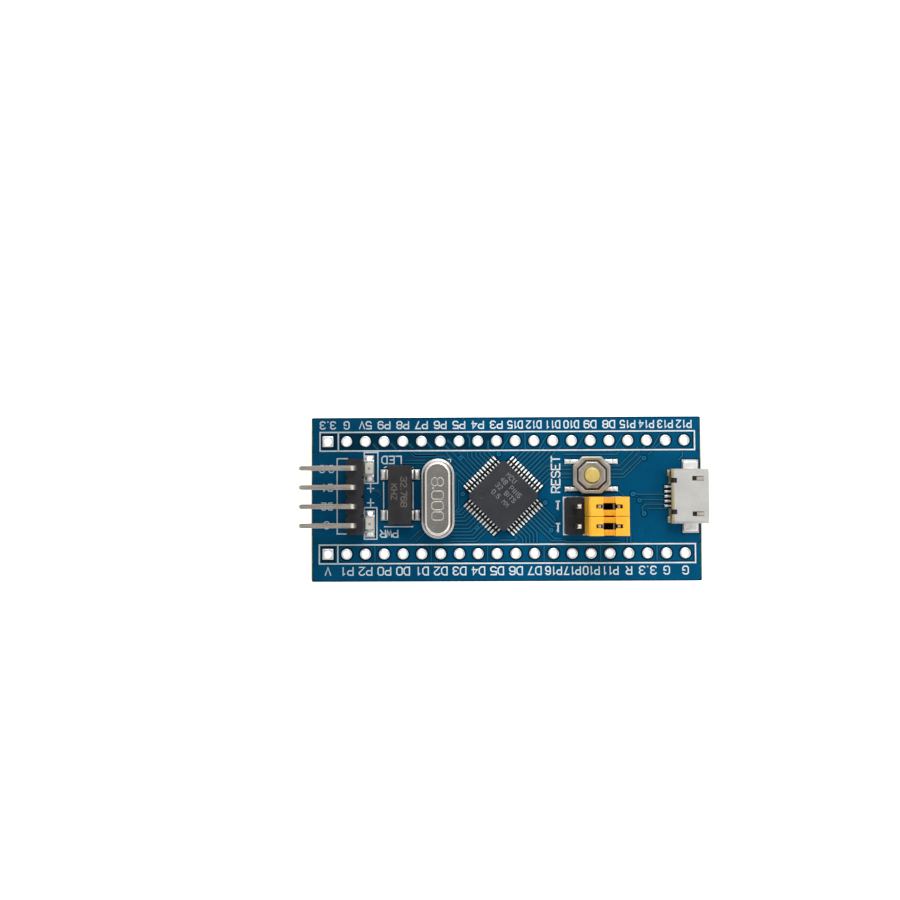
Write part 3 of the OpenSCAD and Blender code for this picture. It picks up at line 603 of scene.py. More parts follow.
def strip(bm, pts, w, z0, z1, edge=0.2, closed=False):
    """Low raised band along a line: w wide at z0 and narrower at z1."""
    pts = [Vector(p) for p in pts]
    if closed and (pts[0] - pts[-1]).length < 1e-6:
        pts.pop()
    n = len(pts)
    rows = []
    for i, p in enumerate(pts):
        a = pts[i - 1] if (i > 0 or closed) else None
        b = pts[(i + 1) % n] if (i < n - 1 or closed) else None
        d0 = (p - a).normalized() if a is not None else None
        d1 = (b - p).normalized() if b is not None else None
        d0 = d0 or d1
        d1 = d1 or d0
        t = d0 + d1
        t = t.normalized() if t.length > 1e-6 else d1
        nrm = Vector((-t.y, t.x))
        k = 1 / max(0.55, abs(nrm.dot(Vector((-d0.y, d0.x)))))
        ext = Vector((0, 0))
        if not closed and i == 0:
            ext = -d1 * w * 0.3
        if not closed and i == n - 1:
            ext = d0 * w * 0.3
        h, g = w / 2 * k, (w / 2 - edge * w) * k
        c, s = p + ext, p + ext * 0.6
        rows.append([bm.verts.new((c.x + nrm.x * h, c.y + nrm.y * h, z0)),
                     bm.verts.new((s.x + nrm.x * g, s.y + nrm.y * g, z1)),
                     bm.verts.new((s.x - nrm.x * g, s.y - nrm.y * g, z1)),
                     bm.verts.new((c.x - nrm.x * h, c.y - nrm.y * h, z0))])
    span = range(n if closed else n - 1)
    for i in span:
        a, b = rows[i], rows[(i + 1) % n]
        for j in range(4):
            k = (j + 1) % 4
            bm.faces.new((a[j], a[k], b[k], b[j]))
    if not closed:
        bm.faces.new(rows[0])
        bm.faces.new(list(reversed(rows[-1])))


def circle(cx, cy, r, n=24, a0=0.0):
    return [(cx + r * math.cos(a0 + 2 * math.pi * i / n),
             cy + r * math.sin(a0 + 2 * math.pi * i / n)) for i in range(n)]


def plate(bm, outer, holes, z0, z1):
    """Flat sheet with holes, z0 to z1."""
    loops = [[Vector((x, y, 0)) for x, y in lp] for lp in [outer] + holes]
    tris = tessellate_polygon(loops)
    flat = [v for lp in loops for v in lp]
    lo = [bm.verts.new((v.x, v.y, z0)) for v in flat]
    hi = [bm.verts.new((v.x, v.y, z1)) for v in flat]
    for t in tris:
        try:
            bm.faces.new([hi[i] for i in t])
            bm.faces.new([lo[i] for i in reversed(t)])
        except ValueError:
            pass
    k = 0
    for lp in loops:
        n = len(lp)
        for i in range(n):
            a, b = k + i, k + (i + 1) % n
            bm.faces.new((lo[a], lo[b], hi[b], hi[a]))
        k += n


def loft(bm, rings, cap0=True, cap1=True, ring_closed=True, join_ends=False):
    """Skin a list of rings of equal length."""
    vs = [[bm.verts.new(p) for p in r] for r in rings]
    n = len(vs[0])
    m = len(vs)
    for i in range(m if join_ends else m - 1):
        a, b = vs[i], vs[(i + 1) % m]
        for j in range(n if ring_closed else n - 1):
            k = (j + 1) % n
            bm.faces.new((a[j], a[k], b[k], b[j]))
    if cap0 and not join_ends:
        bm.faces.new(list(reversed(vs[0])))
    if cap1 and not join_ends:
        bm.faces.new(vs[-1])


def mound(bm, cx, cy, rot, levels, corner=0.25, flip=1):
    """Solder-like mound: levels are (x0, x1, half width, z), x along rot."""
    ca, sa = math.cos(rot), math.sin(rot)
    rings = []
    for x0, x1, h, z in levels:
        c = min((x1 - x0) * corner, h * corner * 1.6)
        pts = [(x0 + c, -h), (x1 - c, -h), (x1 - c * 0.3, -h + c * 0.3),
               (x1, -h + c), (x1, h - c), (x1 - c * 0.3, h - c * 0.3),
               (x1 - c, h), (x0 + c, h), (x0 + c * 0.3, h - c * 0.3),
               (x0, h - c), (x0, -h + c), (x0 + c * 0.3, -h + c * 0.3)]
        rings.append([(cx + x * ca - y * flip * sa,
                       cy + x * sa + y * flip * ca, z) for x, y in pts])
    loft(bm, rings)


# -------------------------------------------------- single-stroke lettering
FONT = {
    "0": [[(1, 0), (3, 0), (4, 1), (4, 5), (3, 6), (1, 6), (0, 5), (0, 1),
           (1, 0)]],
    "1": [[(0.8, 4.9), (2, 6), (2, 0)]],
    "2": [[(0, 5), (1, 6), (3, 6), (4, 5), (4, 4), (0, 0), (4, 0)]],
    "3": [[(0, 5), (1, 6), (3, 6), (4, 5), (4, 4), (3, 3), (1.5, 3)],
          [(3, 3), (4, 2), (4, 1), (3, 0), (1, 0), (0, 1)]],
    "4": [[(3, 0), (3, 6), (0, 2), (4, 2)]],
    "5": [[(4, 6), (0, 6), (0, 3.5), (3, 3.5), (4, 2.5), (4, 1), (3, 0),
           (1, 0), (0, 1)]],
    "6": [[(4, 5), (3, 6), (1, 6), (0, 5), (0, 1), (1, 0), (3, 0), (4, 1),
           (4, 2.5), (3, 3.5), (0.2, 3.5)]],
    "7": [[(0, 6), (4, 6), (1.5, 0)]],
    "8": [[(1, 3), (0, 4), (0, 5), (1, 6), (3, 6), (4, 5), (4, 4), (3, 3),
           (1, 3), (0, 2), (0, 1), (1, 0), (3, 0), (4, 1), (4, 2), (3, 3)]],
    "9": [[(0, 1), (1, 0), (3, 0), (4, 1), (4, 5), (3, 6), (1, 6), (0, 5),
           (0, 3.5), (1, 2.5), (3.8, 2.5)]],
    "A": [[(0, 0), (0, 4), (2, 6), (4, 4), (4, 0)], [(0, 2), (4, 2)]],
    "B": [[(0, 0), (0, 6), (3, 6), (4, 5), (4, 4), (3, 3), (0, 3)],
          [(3, 3), (4, 2), (4, 1), (3, 0), (0, 0)]],
    "C": [[(4, 5), (3, 6), (1, 6), (0, 5), (0, 1), (1, 0), (3, 0), (4, 1)]],
    "D": [[(0, 0), (0, 6), (2.6, 6), (4, 4.6), (4, 1.4), (2.6, 0), (0, 0)]],
    "E": [[(4, 6), (0, 6), (0, 0), (4, 0)], [(0, 3), (3, 3)]],
    "G": [[(4, 5), (3, 6), (1, 6), (0, 5), (0, 1), (1, 0), (3, 0), (4, 1),
           (4, 3), (2.4, 3)]],
    "I": [[(2, 0), (2, 6)]],
    "K": [[(0, 0), (0, 6)], [(4, 6), (0, 2.6)], [(1.2, 3.4), (4, 0)]],
    "L": [[(0, 6), (0, 0), (4, 0)]],
    "M": [[(0, 0), (0, 6), (2, 3), (4, 6), (4, 0)]],
    "P": [[(0, 0), (0, 6), (3, 6), (4, 5), (4, 3.6), (3, 2.6), (0, 2.6)]],
    "R": [[(0, 0), (0, 6), (3, 6), (4, 5), (4, 3.9), (3, 2.9), (0, 2.9)],
          [(2, 2.9), (4, 0)]],
    "S": [[(4, 5), (3, 6), (1, 6), (0, 5), (0, 4), (1, 3), (3, 3), (4, 2),
           (4, 1), (3, 0), (1, 0), (0, 1)]],
    "T": [[(0, 6), (4, 6)], [(2, 6), (2, 0)]],
    "U": [[(0, 6), (0, 1), (1, 0), (3, 0), (4, 1), (4, 6)]],
    "V": [[(0, 6), (2, 0), (4, 6)]],
    "W": [[(0, 6), (0.8, 0), (2, 4.6), (3.2, 0), (4, 6)]],
    "H": [[(0, 0), (0, 6)], [(4, 0), (4, 6)], [(0, 3), (4, 3)]],
    "N": [[(0, 0), (0, 6), (4, 0), (4, 6)]],
    "Z": [[(0, 6), (4, 6), (0, 0), (4, 0)]],
    "+": [[(2, 1), (2, 5)], [(0, 3), (4, 3)]],
    "-": [[(0.5, 3), (3.5, 3)]],
    ".": [[(1.8, 0.1), (2.3, 0.1)]],
}


def text(bm, s, cx, cy, h, deg, stroke, z0, z1, aspect=0.62, gap=0.32,
         mirror=False):
    """Letters centred on (cx, cy), h high, drawn with raised strokes."""
    w, g = h * aspect, h * gap
    adv = [w * (0.4 if c in ".I" else 1.0) for c in s]
    total = sum(adv) + g * (len(s) - 1)
    x = -total / 2
    a = math.radians(deg)
    for c, wid in zip(s, adv):
        for line in FONT.get(c, []):
            out = []
            for px, py in line:
                px = px - 2 if c in ".I" else px
                off = wid / 2 if c in ".I" else 0
                lx = x + off + px / 4 * w
                ly = (py / 6 - 0.5) * h
                if mirror:
                    lx = -lx
                out.append((cx + lx * math.cos(a) - ly * math.sin(a),
                            cy + lx * math.sin(a) + ly * math.cos(a)))
            strip(bm, out, stroke, z0, z1,
                  closed=len(out) > 3 and out[0] == out[-1])
        x += wid + g


# ---------------------------------------------------------- board and copper
TOP = 1.6
Z_POUR, Z_GAP, Z_TRACE, Z_SILK = 1.606, 1.610, 1.624, 1.638
PITCH = 2.54
HOLE_X = [-24.13 + PITCH * i for i in range(20)]
MCU = (-0.38, 0.16)
XTAL = (-9.22, -0.16)
RTC = (-14.32, 0.36)
SWITCH_AT = (11.52, 2.9)
BOOT = (11.65, -2.57)
SWD = (-20.33, 0.1)
VIAS = [(17.15, 0.35), (18.05, -0.5), (18.65, -2.3), (18.7, 5.2),
        (-6.15, 5.35), (-5.85, 0.45), (-0.95, 5.85), (5.3, -0.75),
        (-4, -4.1), (6.1, -4.5)]

keep("pcb_substrate", MASK_BOARD)
keep("header_hole_plating", TIN)
keep("via_plating", MASK_VIA)


def rect(x0, y0, x1, y1, c=0.0):
    if not c:
        return [(x0, y0), (x1, y0), (x1, y1), (x0, y1)]
    return [(x0 + c, y0), (x1 - c, y0), (x1, y0 + c), (x1, y1 - c),
            (x1 - c, y1), (x0 + c, y1), (x0, y1 - c), (x0, y0 + c)]


PIN_HOLES = ([(BOOT[0] + i * PITCH, BOOT[1] + j * PITCH)
              for i in (-1, 0, 1) for j in (-0.5, 0.5)]
             + [(SWD[0], SWD[1] + i * PITCH) for i in (-1.5, -0.5, 0.5, 1.5)])
LEAD_HOLES = [(XTAL[0], XTAL[1] + s * 2.44) for s in (-1, 1)]


def pour(name, z0, z1, upper):
    bm = bmesh.new()
    holes = [circle(x, y, 0.52, 24) for x, y in PIN_HOLES]
    holes += [circle(x, y, 0.42, 24) for x, y in LEAD_HOLES]
    plate(bm, rect(-26.2, -6.2, 26.2, 6.2, 0.25), holes, z0, z1)
    for yc, first in ((7.62, 9 if upper else 0), (-7.62, 0)):
        plate(bm, rect(HOLE_X[first] + 1.03, yc - 1.02, HOLE_X[19] + 1.05,
                       yc + 1.02, 0.15),
              [circle(HOLE_X[i], yc, 0.975, 32)
               for i in range(first + 1, 20)], z0, z1)
    plate(bm, rect(-26.2, 8.98, 26.2, 10.7, 0.2), [], z0, z1)
    plate(bm, rect(-26.2, -11.2, 26.2, -9.02, 0.2), [], z0, z1)
    for ya, yb in ((6.24, 8.94), (-8.98, -6.24)):
        plate(bm, rect(-26.2, ya, -25.4, yb, 0.1), [], z0, z1)
        plate(bm, rect(25.7, ya, 26.2, yb, 0.1), [], z0, z1)
    return close(name, bm, MASK_POUR)


pour("copper_pour_upper", TOP - 0.001, Z_POUR, True)
pour("copper_pour_lower", 0.001, TOP - Z_POUR, False)


def side(k, i):
    """Lead i of side k: foot position and outward direction."""
    a = math.radians(45 + 90 * k)
    d = Vector((math.cos(a), math.sin(a)))
    n = Vector((-d.y, d.x))
    t = (i - 5.5) * 0.5
    return Vector(MCU) + n * t, d


def lead_run(k, i, *rest):
    p, d = side(k, i)
    start = p + d * 4.74
    return [tuple(start)] + list(rest)


TRACES = []
# right-hand side towards the USB receptacle
TRACES += [
    [(17.45, 0.42), (17.95, 0.3), (21.3, 0.3)],
    [(18.3, -0.4), (21.3, -0.42)],
    [(18.5, -2.05), (18.35, -1.45), (18.8, -1.05), (21.3, -1.05)],
    [(19.1, -1.62), (22.0, -1.62)],
    [(14.2, 2.62), (16.0, 2.62), (18.35, 4.95)],
    [(14.2, 3.08), (15.85, 3.08), (18.35, 5.5)],
    [(14.2, 3.66), (15.6, 3.66), (18.3, 6.3), (18.9, 6.9)],
    [(14.2, 4.18), (15.3, 4.18), (17.4, 6.25), (17.9, 6.75)],
    [(7.9, 5.75), (15.0, 5.75), (15.9, 6.65)],
    [(19.3, 5.72), (20.0, 6.42), (21.0, 7.4)],
    [(15.1, 0.9), (16.4, -0.35)],
    [(16.3, -5.3), (16.3, -6.25)],
    [(16.8, -5.0), (16.8, -6.25)],
    [(23.3, 4.9), (23.9, 5.5), (23.9, 6.25)],
    [(8.0, -6.05), (15.2, -6.05)],
]
# under the switch and the word beside it
TRACES += [
    lead_run(0, 0, (6.0, 2.6), (8.95, 2.6)),
    lead_run(0, 1, (5.8, 3.1), (8.95, 3.1)),
    lead_run(0, 2, (5.72, 3.7), (8.95, 3.7)),
    lead_run(0, 3, (5.5, 4.2), (8.95, 4.2)),
    lead_run(0, 4, (6.9, 6.3), (7.6, 7.0)),
    lead_run(0, 5, (6.2, 6.32)),
    lead_run(0, 6, (5.5, 6.32), (6.05, 6.32)),
    lead_run(0, 7, (4.8, 6.32), (5.2, 6.75)),
    lead_run(0, 8, (4.1, 6.34)),
    lead_run(0, 9, (3.35, 6.32)),
    lead_run(0, 10, (2.64, 6.3), (2.6, 8.7)),
    lead_run(0, 11, (1.95, 6.35)),
]
for i, path in enumerate([
        [(2.2, -5.6), (2.2, -6.3)], [(2.65, -5.35), (2.65, -6.3)],
        [(3.15, -5.15), (3.15, -6.3)], [(3.65, -5.0), (3.65, -6.3)],
        [(4.15, -4.75), (4.15, -6.3)], [(6.05, -5.9), (8.0, -5.9)],
        [(6.5, -5.6), (7.4, -5.6)], [(5.85, -4.3)],
        [(6.2, -3.98), (6.6, -3.98)], [(6.5, -3.55), (6.9, -3.55)],
        [(6.6, -2.95), (6.6, -3.2)]]):
    TRACES.append(lead_run(3, i + 1, *path))
TRACES.append(lead_run(3, 0, (1.45, -5.55), (1.2, -5.8), (-1.0, -5.8)))
# left of the microcontroller
for i, y in enumerate([-1.98, -2.3, -2.75, -3.2, -3.7, -4.2, -4.65, -5.1,
                       -5.55, -5.95]):
    p, d = side(2, i)
    s = p + d * 4.74
    drop = max(0.05, s.y - y)
    end = -7.0 if i < 6 else -7.2 - 0.15 * (i - 6)
    TRACES.append([tuple(s), (s.x - drop, y), (end, y)])
TRACES += [
    lead_run(1, 11, (-6.42, 2.4), (-6.42, -1.45), (-6.9, -1.95)),
    lead_run(1, 10, (-6.8, 3.4), (-6.8, -1.3)),
    lead_run(1, 9, (-7.5, 4.75)),
    lead_run(1, 8, (-8.0, 5.95), (-8.3, 6.3)),
    lead_run(1, 7, (-7.3, 6.1), (-8.2, 7.0)),
    lead_run(1, 6, (-6.5, 6.3)),
    lead_run(1, 5, (-5.2, 5.4), (-5.2, 6.35)),
    lead_run(1, 4, (-4.62, 5.5), (-4.62, 6.35)),
    lead_run(1, 3, (-4.05, 5.62), (-4.05, 6.35)),
    lead_run(1, 2, (-3.5, 5.8), (-3.5, 6.35)),
    lead_run(1, 1, (-2.95, 5.95), (-2.95, 6.35)),
    lead_run(1, 0, (-2.4, 6.1), (-2.4, 6.4)),
    [(-13.2, 6.35), (-12.35, 5.5), (-8.3, 5.5), (-7.0, 4.2)],
    [(-13.6, 5.02), (-10.9, 5.02)],
    [(-13.9, 4.62), (-10.9, 4.62)],
    [(-12.6, 6.2), (-12.2, 5.85), (-9.6, 5.85)],
    [(-13.0, -5.65), (-11.6, -4.3)],
    [(-12.2, -5.9), (-10.9, -4.65)],
    [(-18.3, 0.9), (-17.35, 0.9), (-17.0, 0.55), (-17.0, 0.3),
     (-17.4, 0.0)],
    [(-7.9, 7.75), (-6.9, 6.75)],
    [(-5.2, 8.4), (-4.9, 8.0), (-4.9, 6.9)],
    [(-13.3, 7.4), (-12.6, 6.7)], [(-10.7, 7.4), (-10.0, 6.7)],
    [(-18.0, 7.2), (-17.4, 6.6)], [(-15.6, 7.3), (-14.9, 6.6)],
    [(-2.4, 7.6), (-2.4, 6.6)], [(-7.4, 5.2), (-7.9, 5.7)],
]
for i in (9, 11, 13, 15, 17):
    x = HOLE_X[i]
    TRACES.append([(x + 0.75, 6.6), (x + 1.75, 8.3)])
# bottom row, between the holes
for i in range(2, 19, 3):
    x = HOLE_X[i] + 1.27
    TRACES.append([(x, -6.6), (x, -8.6)])

bm_t, bm_g = bmesh.new(), bmesh.new()
for k, path in enumerate(TRACES):
    strip(bm_g, path, 0.52, TOP - 0.001, Z_GAP + 0.00005 * (k % 3), 0.04)
    strip(bm_t, path, 0.2, TOP - 0.001, Z_TRACE, 0.2)
for x, y in VIAS:
    plate(bm_g, circle(x, y, 0.52, 28), [circle(x, y, 0.2, 20)],
          TOP - 0.001, Z_GAP + 0.0003)
# clear margins round the pads
for x, y in PIN_HOLES + LEAD_HOLES:
    plate(bm_g, circle(x, y, 1.0, 32), [circle(x, y, 0.6, 24)],
          TOP - 0.001, Z_GAP + 0.0004)
for cx, cy, w, h in ([(RTC[0] + sx * 2.1, RTC[1] + sy * 2.75, 1.1, 1.4)
                      for sx in (-1, 1) for sy in (-1, 1)]
                     + [(SWITCH_AT[0] + sx * 3.155,
                         SWITCH_AT[1] + sy * 1.86, 0.9, 0.7)
                        for sx in (-1, 1) for sy in (-1, 1)]
                     + [(x, y + s * 1.28, 1.25, 1.05)
                        for x, y in ((-18.5, 3.93), (-18.43, -3.55))
                        for s in (-1, 1)]
                     + [(24.9, 0.03 + s * 4.05, 2.2, 1.8)
                        for s in (-1, 1)]):
    plate(bm_g, rect(cx - w / 2 - 0.2, cy - h / 2 - 0.2, cx + w / 2 + 0.2,
                     cy + h / 2 + 0.2, 0.1), [], TOP - 0.001,
          Z_GAP + 0.0006)
# clear mask under the microcontroller's leads and the receptacle's tails
LEAD_BEDS = [rect(21.2, -1.6, 22.4, 1.66, 0.1)]
for k in range(4):
    p, d = side(k, 5.5)
    n = Vector((-d.y, d.x))
    q = [p + d * a + n * b for a, b in ((3.3, -3.1), (4.9, -3.1),
                                       (4.9, 3.1), (3.3, 3.1))]
    LEAD_BEDS.append([tuple(v) for v in q])
close("mask_over_gaps_upper", bm_g, MASK_GAP)
close("copper_traces_upper", bm_t, MASK_TRACE)

# mask edge round every header hole, on both faces
bm = bmesh.new()
for i, x in enumerate(HOLE_X):
    for y in (-7.62, 7.62):
        for z0, z1 in ((TOP - 0.001, 1.617), (0.001, -0.017)):
            if i == 0:
                plate(bm, rect(x - 0.98, y - 0.98, x + 0.98, y + 0.98, 0.1),
                      [rect(x - 0.75, y - 0.75, x + 0.75, y + 0.75)], z0, z1)
            else:
                plate(bm, circle(x, y, 0.93, 32), [circle(x, y, 0.75, 32)],
                      z0, z1)
for bed in LEAD_BEDS:
    plate(bm, bed, [], TOP - 0.001, Z_GAP + 0.0009)
close("mask_rims_at_holes", bm, MASK_RIM)

# domed tin on every header pad
bm = bmesh.new()
PROFILE = [(0.0, -0.004), (0.06, 0.022), (0.2, 0.038), (0.45, 0.044),
           (0.7, 0.036), (0.9, 0.018), (0.98, 0.002), (1.0, -0.03),
           (0.02, -0.03)]
for i, x in enumerate(HOLE_X):
    for y in (-7.62, 7.62):
        for zb, up in ((1.65, 1), (-0.05, -1)):
            rings = []
            for t, dz in PROFILE:
                ring = []
                for k in range(40):
                    a = 2 * math.pi * k / 40
                    ca, sa = math.cos(a), math.sin(a)
                    if i == 0:
                        m = max(abs(ca), abs(sa))
                        ro = 0.725 / m if m > 0.76 else 0.725 / 0.76
                    else:
                        ro = 0.725
                    r = 0.5 + (ro - 0.5) * t
                    ring.append((x + r * ca, y + r * sa, zb + up * dz))
                rings.append(ring)
            loft(bm, rings, False, False, join_ends=True)
close("header_pad_tin", bm, TIN, smooth=60)

# ------------------------------------------------------------- silkscreen
bm = bmesh.new()
Z0 = TOP - 0.001


def line(pts, w=0.2, closed=False):
    strip(bm, pts, w, Z0, Z_SILK, closed=closed)


def frame_line(x0, y0, x1, y1, w=0.2):
    line([(x0, y0), (x1, y0), (x1, y1), (x0, y1), (x0, y0)], w, True)


frame_line(-25.2, 6.33, 25.55, 8.87)
frame_line(-25.3, -8.92, 25.5, -6.38)
line([(-22.72, 6.33), (-22.72, 8.87)])
line([(-22.8, -8.92), (-22.8, -6.38)])
line([(-21.45, 5.3), (-22.88, 5.3), (-22.88, -4.88), (-21.65, -4.88)], 0.18)
frame_line(-19.2, 1.95, -17.35, 6.12, 0.18)
frame_line(-19.2, -5.6, -17.5, -1.35, 0.18)
for y in (1.25, -0.7):
    line([(-18.8, y), (-17.9, y)], 0.17)
    line([(-18.35, y - 0.55), (-18.35, y + 0.55)], 0.17)
line([(-16.58, 2.1), (-16.58, -1.55)], 0.18)
line([(-12.6, 2.1), (-12.6, -1.55)], 0.16)
line([(-16.5, -3.93), (-12.65, -3.93)], 0.18)
line([(-16.5, 4.05), (-16.15, 4.2)], 0.16)
line([(-12.85, 4.2), (-12.6, 4.05)], 0.16)
frame_line(7.75, -5.08, 15.5, -0.08, 0.2)
for y0, y1 in ((-0.6, -1.75), (-3.6, -4.75)):
    xm, ym = 7.0, (y0 + y1) / 2
    line([(xm, y0), (xm, y1 + 0.04)], 0.24)
    line([(xm - 0.24, y0), (xm + 0.24, y0)], 0.2)
    line([(xm, y1 + 0.06), (xm - 0.16, y1 + 0.2)], 0.16)
# crystal's courtyard corners
line([(-7.85, 5.15), (-7.5, 5.15), (-7.5, 4.8)], 0.12)
text(bm, "RESET", 6.72, 3.05, 1.12, 90, 0.21, Z0, Z_SILK, 0.68, 0.24)
text(bm, "LED", -15.5, 5.1, 1.0, 180, 0.19, Z0, Z_SILK, 0.7, 0.26)
text(bm, "PWR", -15.85, -4.87, 0.95, 180, 0.19, Z0, Z_SILK, 0.72, 0.16)
UP_LABELS = ["3.3", "G", "5V", "P9", "P8", "P7", "P6", "P5", "P4", "P3",
             "D15", "D12", "D11", "D10", "D9", "D8", "P15", "P14", "P13",
             "P12"]
LOW_LABELS = ["V", "P1", "P2", "P0", "D0", "D1", "D2", "D3", "D4", "D5",
              "D6", "D7", "P16", "P17", "P10", "P11", "R", "3.3", "G", "G"]
for i, x in enumerate(HOLE_X):
    for y, s in ((9.83, UP_LABELS[i]), (-9.93, LOW_LABELS[i])):
        tight = len(s) > 2 and "." not in s
        text(bm, s, x, y, 0.96 if y > 0 else 1.04, 180, 0.185, Z0, Z_SILK,
             0.58 if tight else 0.7, 0.15 if tight else 0.24)
for i, s in enumerate(("3.3", "D1", "D2", "G")):
    text(bm, s, -24.3, SWD[1] + (1.5 - i) * PITCH, 0.95, 180, 0.16, Z0,
         Z_SILK, 0.66, 0.2)
close("silkscreen_upper", bm, SILK, smooth=20)

# ------------------------------------------------------------ solder pads
refine("solder_pads", "solder_pads_tinned", TIN, 0.018, 2)
bm = bmesh.new()
zs = 1.65
for k in range(4):
    for i in range(12):
        p, d = side(k, i)
        rot = math.atan2(d.y, d.x)
        e = 0.02 * rng.random()
        mound(bm, p.x, p.y, rot, [
            (3.99, 4.755, 0.135, zs - 0.003), (4.0, 4.7 + e, 0.128, zs + 0.02),
            (4.03, 4.62 + e, 0.118, zs + 0.055),
            (4.08, 4.55, 0.108, zs + 0.09), (4.14, 4.5, 0.1, zs + 0.118)],
            0.3)
# pads of the clock crystal, the switch, the lights and the USB wings
for sx in (-1, 1):
    rot = 0 if sx > 0 else math.pi
    for sy in (-1, 1):
        mound(bm, RTC[0], RTC[1] + sy * 2.75, rot, [
            (1.75, 2.64, 0.66, zs - 0.003), (1.8, 2.6, 0.64, zs + 0.05),
            (1.9, 2.52, 0.6, zs + 0.12), (2.0, 2.42, 0.56, zs + 0.17),
            (2.1, 2.3, 0.5, zs + 0.19)], 0.35)
        mound(bm, SWITCH_AT[0], SWITCH_AT[1] + sy * 1.86, rot, [
            (2.73, 3.6, 0.34, zs - 0.003), (2.78, 3.58, 0.325, zs + 0.06),
            (2.87, 3.54, 0.3, zs + 0.12), (2.95, 3.49, 0.27, zs + 0.17),
            (3.02, 3.42, 0.22, zs + 0.185)], 0.3)
for lx, ly in ((-18.5, 3.93), (-18.43, -3.55)):
    for s in (-1, 1):
        rot = math.pi / 2 * s
        mound(bm, lx, ly, rot, [
            (1.0, 1.79, 0.61, zs - 0.003), (1.02, 1.74, 0.58, zs + 0.06),
            (1.04, 1.6, 0.5, zs + 0.15), (1.06, 1.42, 0.4, zs + 0.24),
            (1.08, 1.28, 0.3, zs + 0.31), (1.1, 1.2, 0.2, zs + 0.345)], 0.4)
for s in (-1, 1):
    mound(bm, 24.9, 0.03 + s * 4.15, 0, [
        (-1.08, 1.08, 0.72, zs - 0.003), (-1.05, 1.05, 0.7, zs + 0.1),
        (-1.0, 1.0, 0.66, zs + 0.18), (-0.94, 0.94, 0.61, zs + 0.24),
        (-0.86, 0.86, 0.54, zs + 0.272), (-0.76, 0.76, 0.46, zs + 0.285)],
        0.3)
for i in range(-2, 3):
    mound(bm, 21.78, 0.03 + i * 0.65, math.pi, [
        (-0.38, 0.385, 0.175, zs - 0.003), (-0.35, 0.36, 0.165, zs + 0.05),
        (-0.29, 0.31, 0.15, zs + 0.11), (-0.2, 0.24, 0.13, zs + 0.16),
        (-0.1, 0.14, 0.09, zs + 0.185), (-0.03, 0.05, 0.04, zs + 0.19)],
        0.35)
close("solder_upper", bm, SOLDER, smooth=60)

# ---------------------------------------------------------- microcontroller
refine("mcu_body", "mcu_body_moulded", MOULD, 0.035, 2)
refine("mcu_leads", "mcu_leads_tinned", MCU_LEAD, 0.02, 2,
       smooth=50)
keep("mcu_die", DIE)
keep("mcu_die_paddle", COPPER)
bm = bmesh.new()
R = math.radians(-45)


def at_mcu(u, v):
    """u along the reading direction, v towards the reader's top."""
    return (MCU[0] + u * math.cos(R) - v * math.sin(R),
            MCU[1] + u * math.sin(R) + v * math.cos(R))


for s, u, v, h in (("MCU", -0.95, 2.42, 0.62),
                   ("48 PINS", -0.1, 1.48, 0.62),
                   ("32 BITS", -0.1, 0.5, 0.6),
                   ("0.5 MM", -0.1, -0.55, 0.6)):
    x, y = at_mcu(u, v)
    text(bm, s, x, y, h, -45, 0.085, 3.149, 3.1545, 0.6, 0.3)
close("mcu_marking", bm, MARK, smooth=20)

# ---------------------------------------------------------------- crystal
keep("main_crystal_can", CAN)
keep("main_crystal_base", CERAMIC)
keep("main_crystal_glass_seals", SEAL)
keep("main_crystal_leads", LEAD)
keep("main_crystal_clips", LEAD)
keep("main_crystal_quartz", QUARTZ)


def stadium(cx, cy, l, w, z, n=16):
    r = w / 2
    pts = []
    for i in range(n + 1):
        a = math.pi * i / n
        pts.append((cx + r * math.cos(a), cy + (l - w) / 2 + r * math.sin(a),
                    z))
    for i in range(n + 1):
        a = math.pi + math.pi * i / n
        pts.append((cx + r * math.cos(a), cy - (l - w) / 2 + r * math.sin(a),
                    z))
    return pts


# drawn radius where the can's wall meets its flange, and the flange's lip
bm = bmesh.new()
rings = []
for t in range(9):
    a = math.pi / 2 * t / 8
    r = 0.26
    off = 0.0 + r - r * math.sin(a)
    z = 2.25 + r - r * math.cos(a)
    rings.append(stadium(XTAL[0], XTAL[1], 9.97 + 2 * off, 3.67 + 2 * off,
                         z, 24))
rings.append(stadium(XTAL[0], XTAL[1], 9.9, 3.6, 2.51, 24))
rings.append(stadium(XTAL[0], XTAL[1], 9.9, 3.6, 2.24, 24))
loft(bm, rings, False, False, join_ends=True)
rings = []
for off, z in ((0.0, 2.0), (0.0, 2.225), (-0.015, 2.255), (-0.045, 2.274),
               (-0.09, 2.281), (-0.15, 2.281), (-0.19, 2.268),
               (-0.21, 2.243)):
    rings.append(stadium(XTAL[0], XTAL[1], 10.78 + 2 * off, 4.43 + 2 * off,
                         z, 24))
rings.append(stadium(XTAL[0], XTAL[1], 10.45, 4.1, 2.02, 24))
loft(bm, rings, False, False, join_ends=True)
close("main_crystal_drawn_edge", bm, CAN, smooth=50)
bm = bmesh.new()
for ch, yc in (("8", 2.05), ("0", 0.27), ("0", -1.13), ("0", -2.5)):
    text(bm, ch, -9.22, yc, 1.55, -90, 0.13, 5.148, 5.158, 0.7)
strip(bm, circle(-9.82, 1.2, 0.1, 12), 0.1, 5.148, 5.158, closed=True)
close("main_crystal_numerals", bm, ENGRAVE, smooth=20)

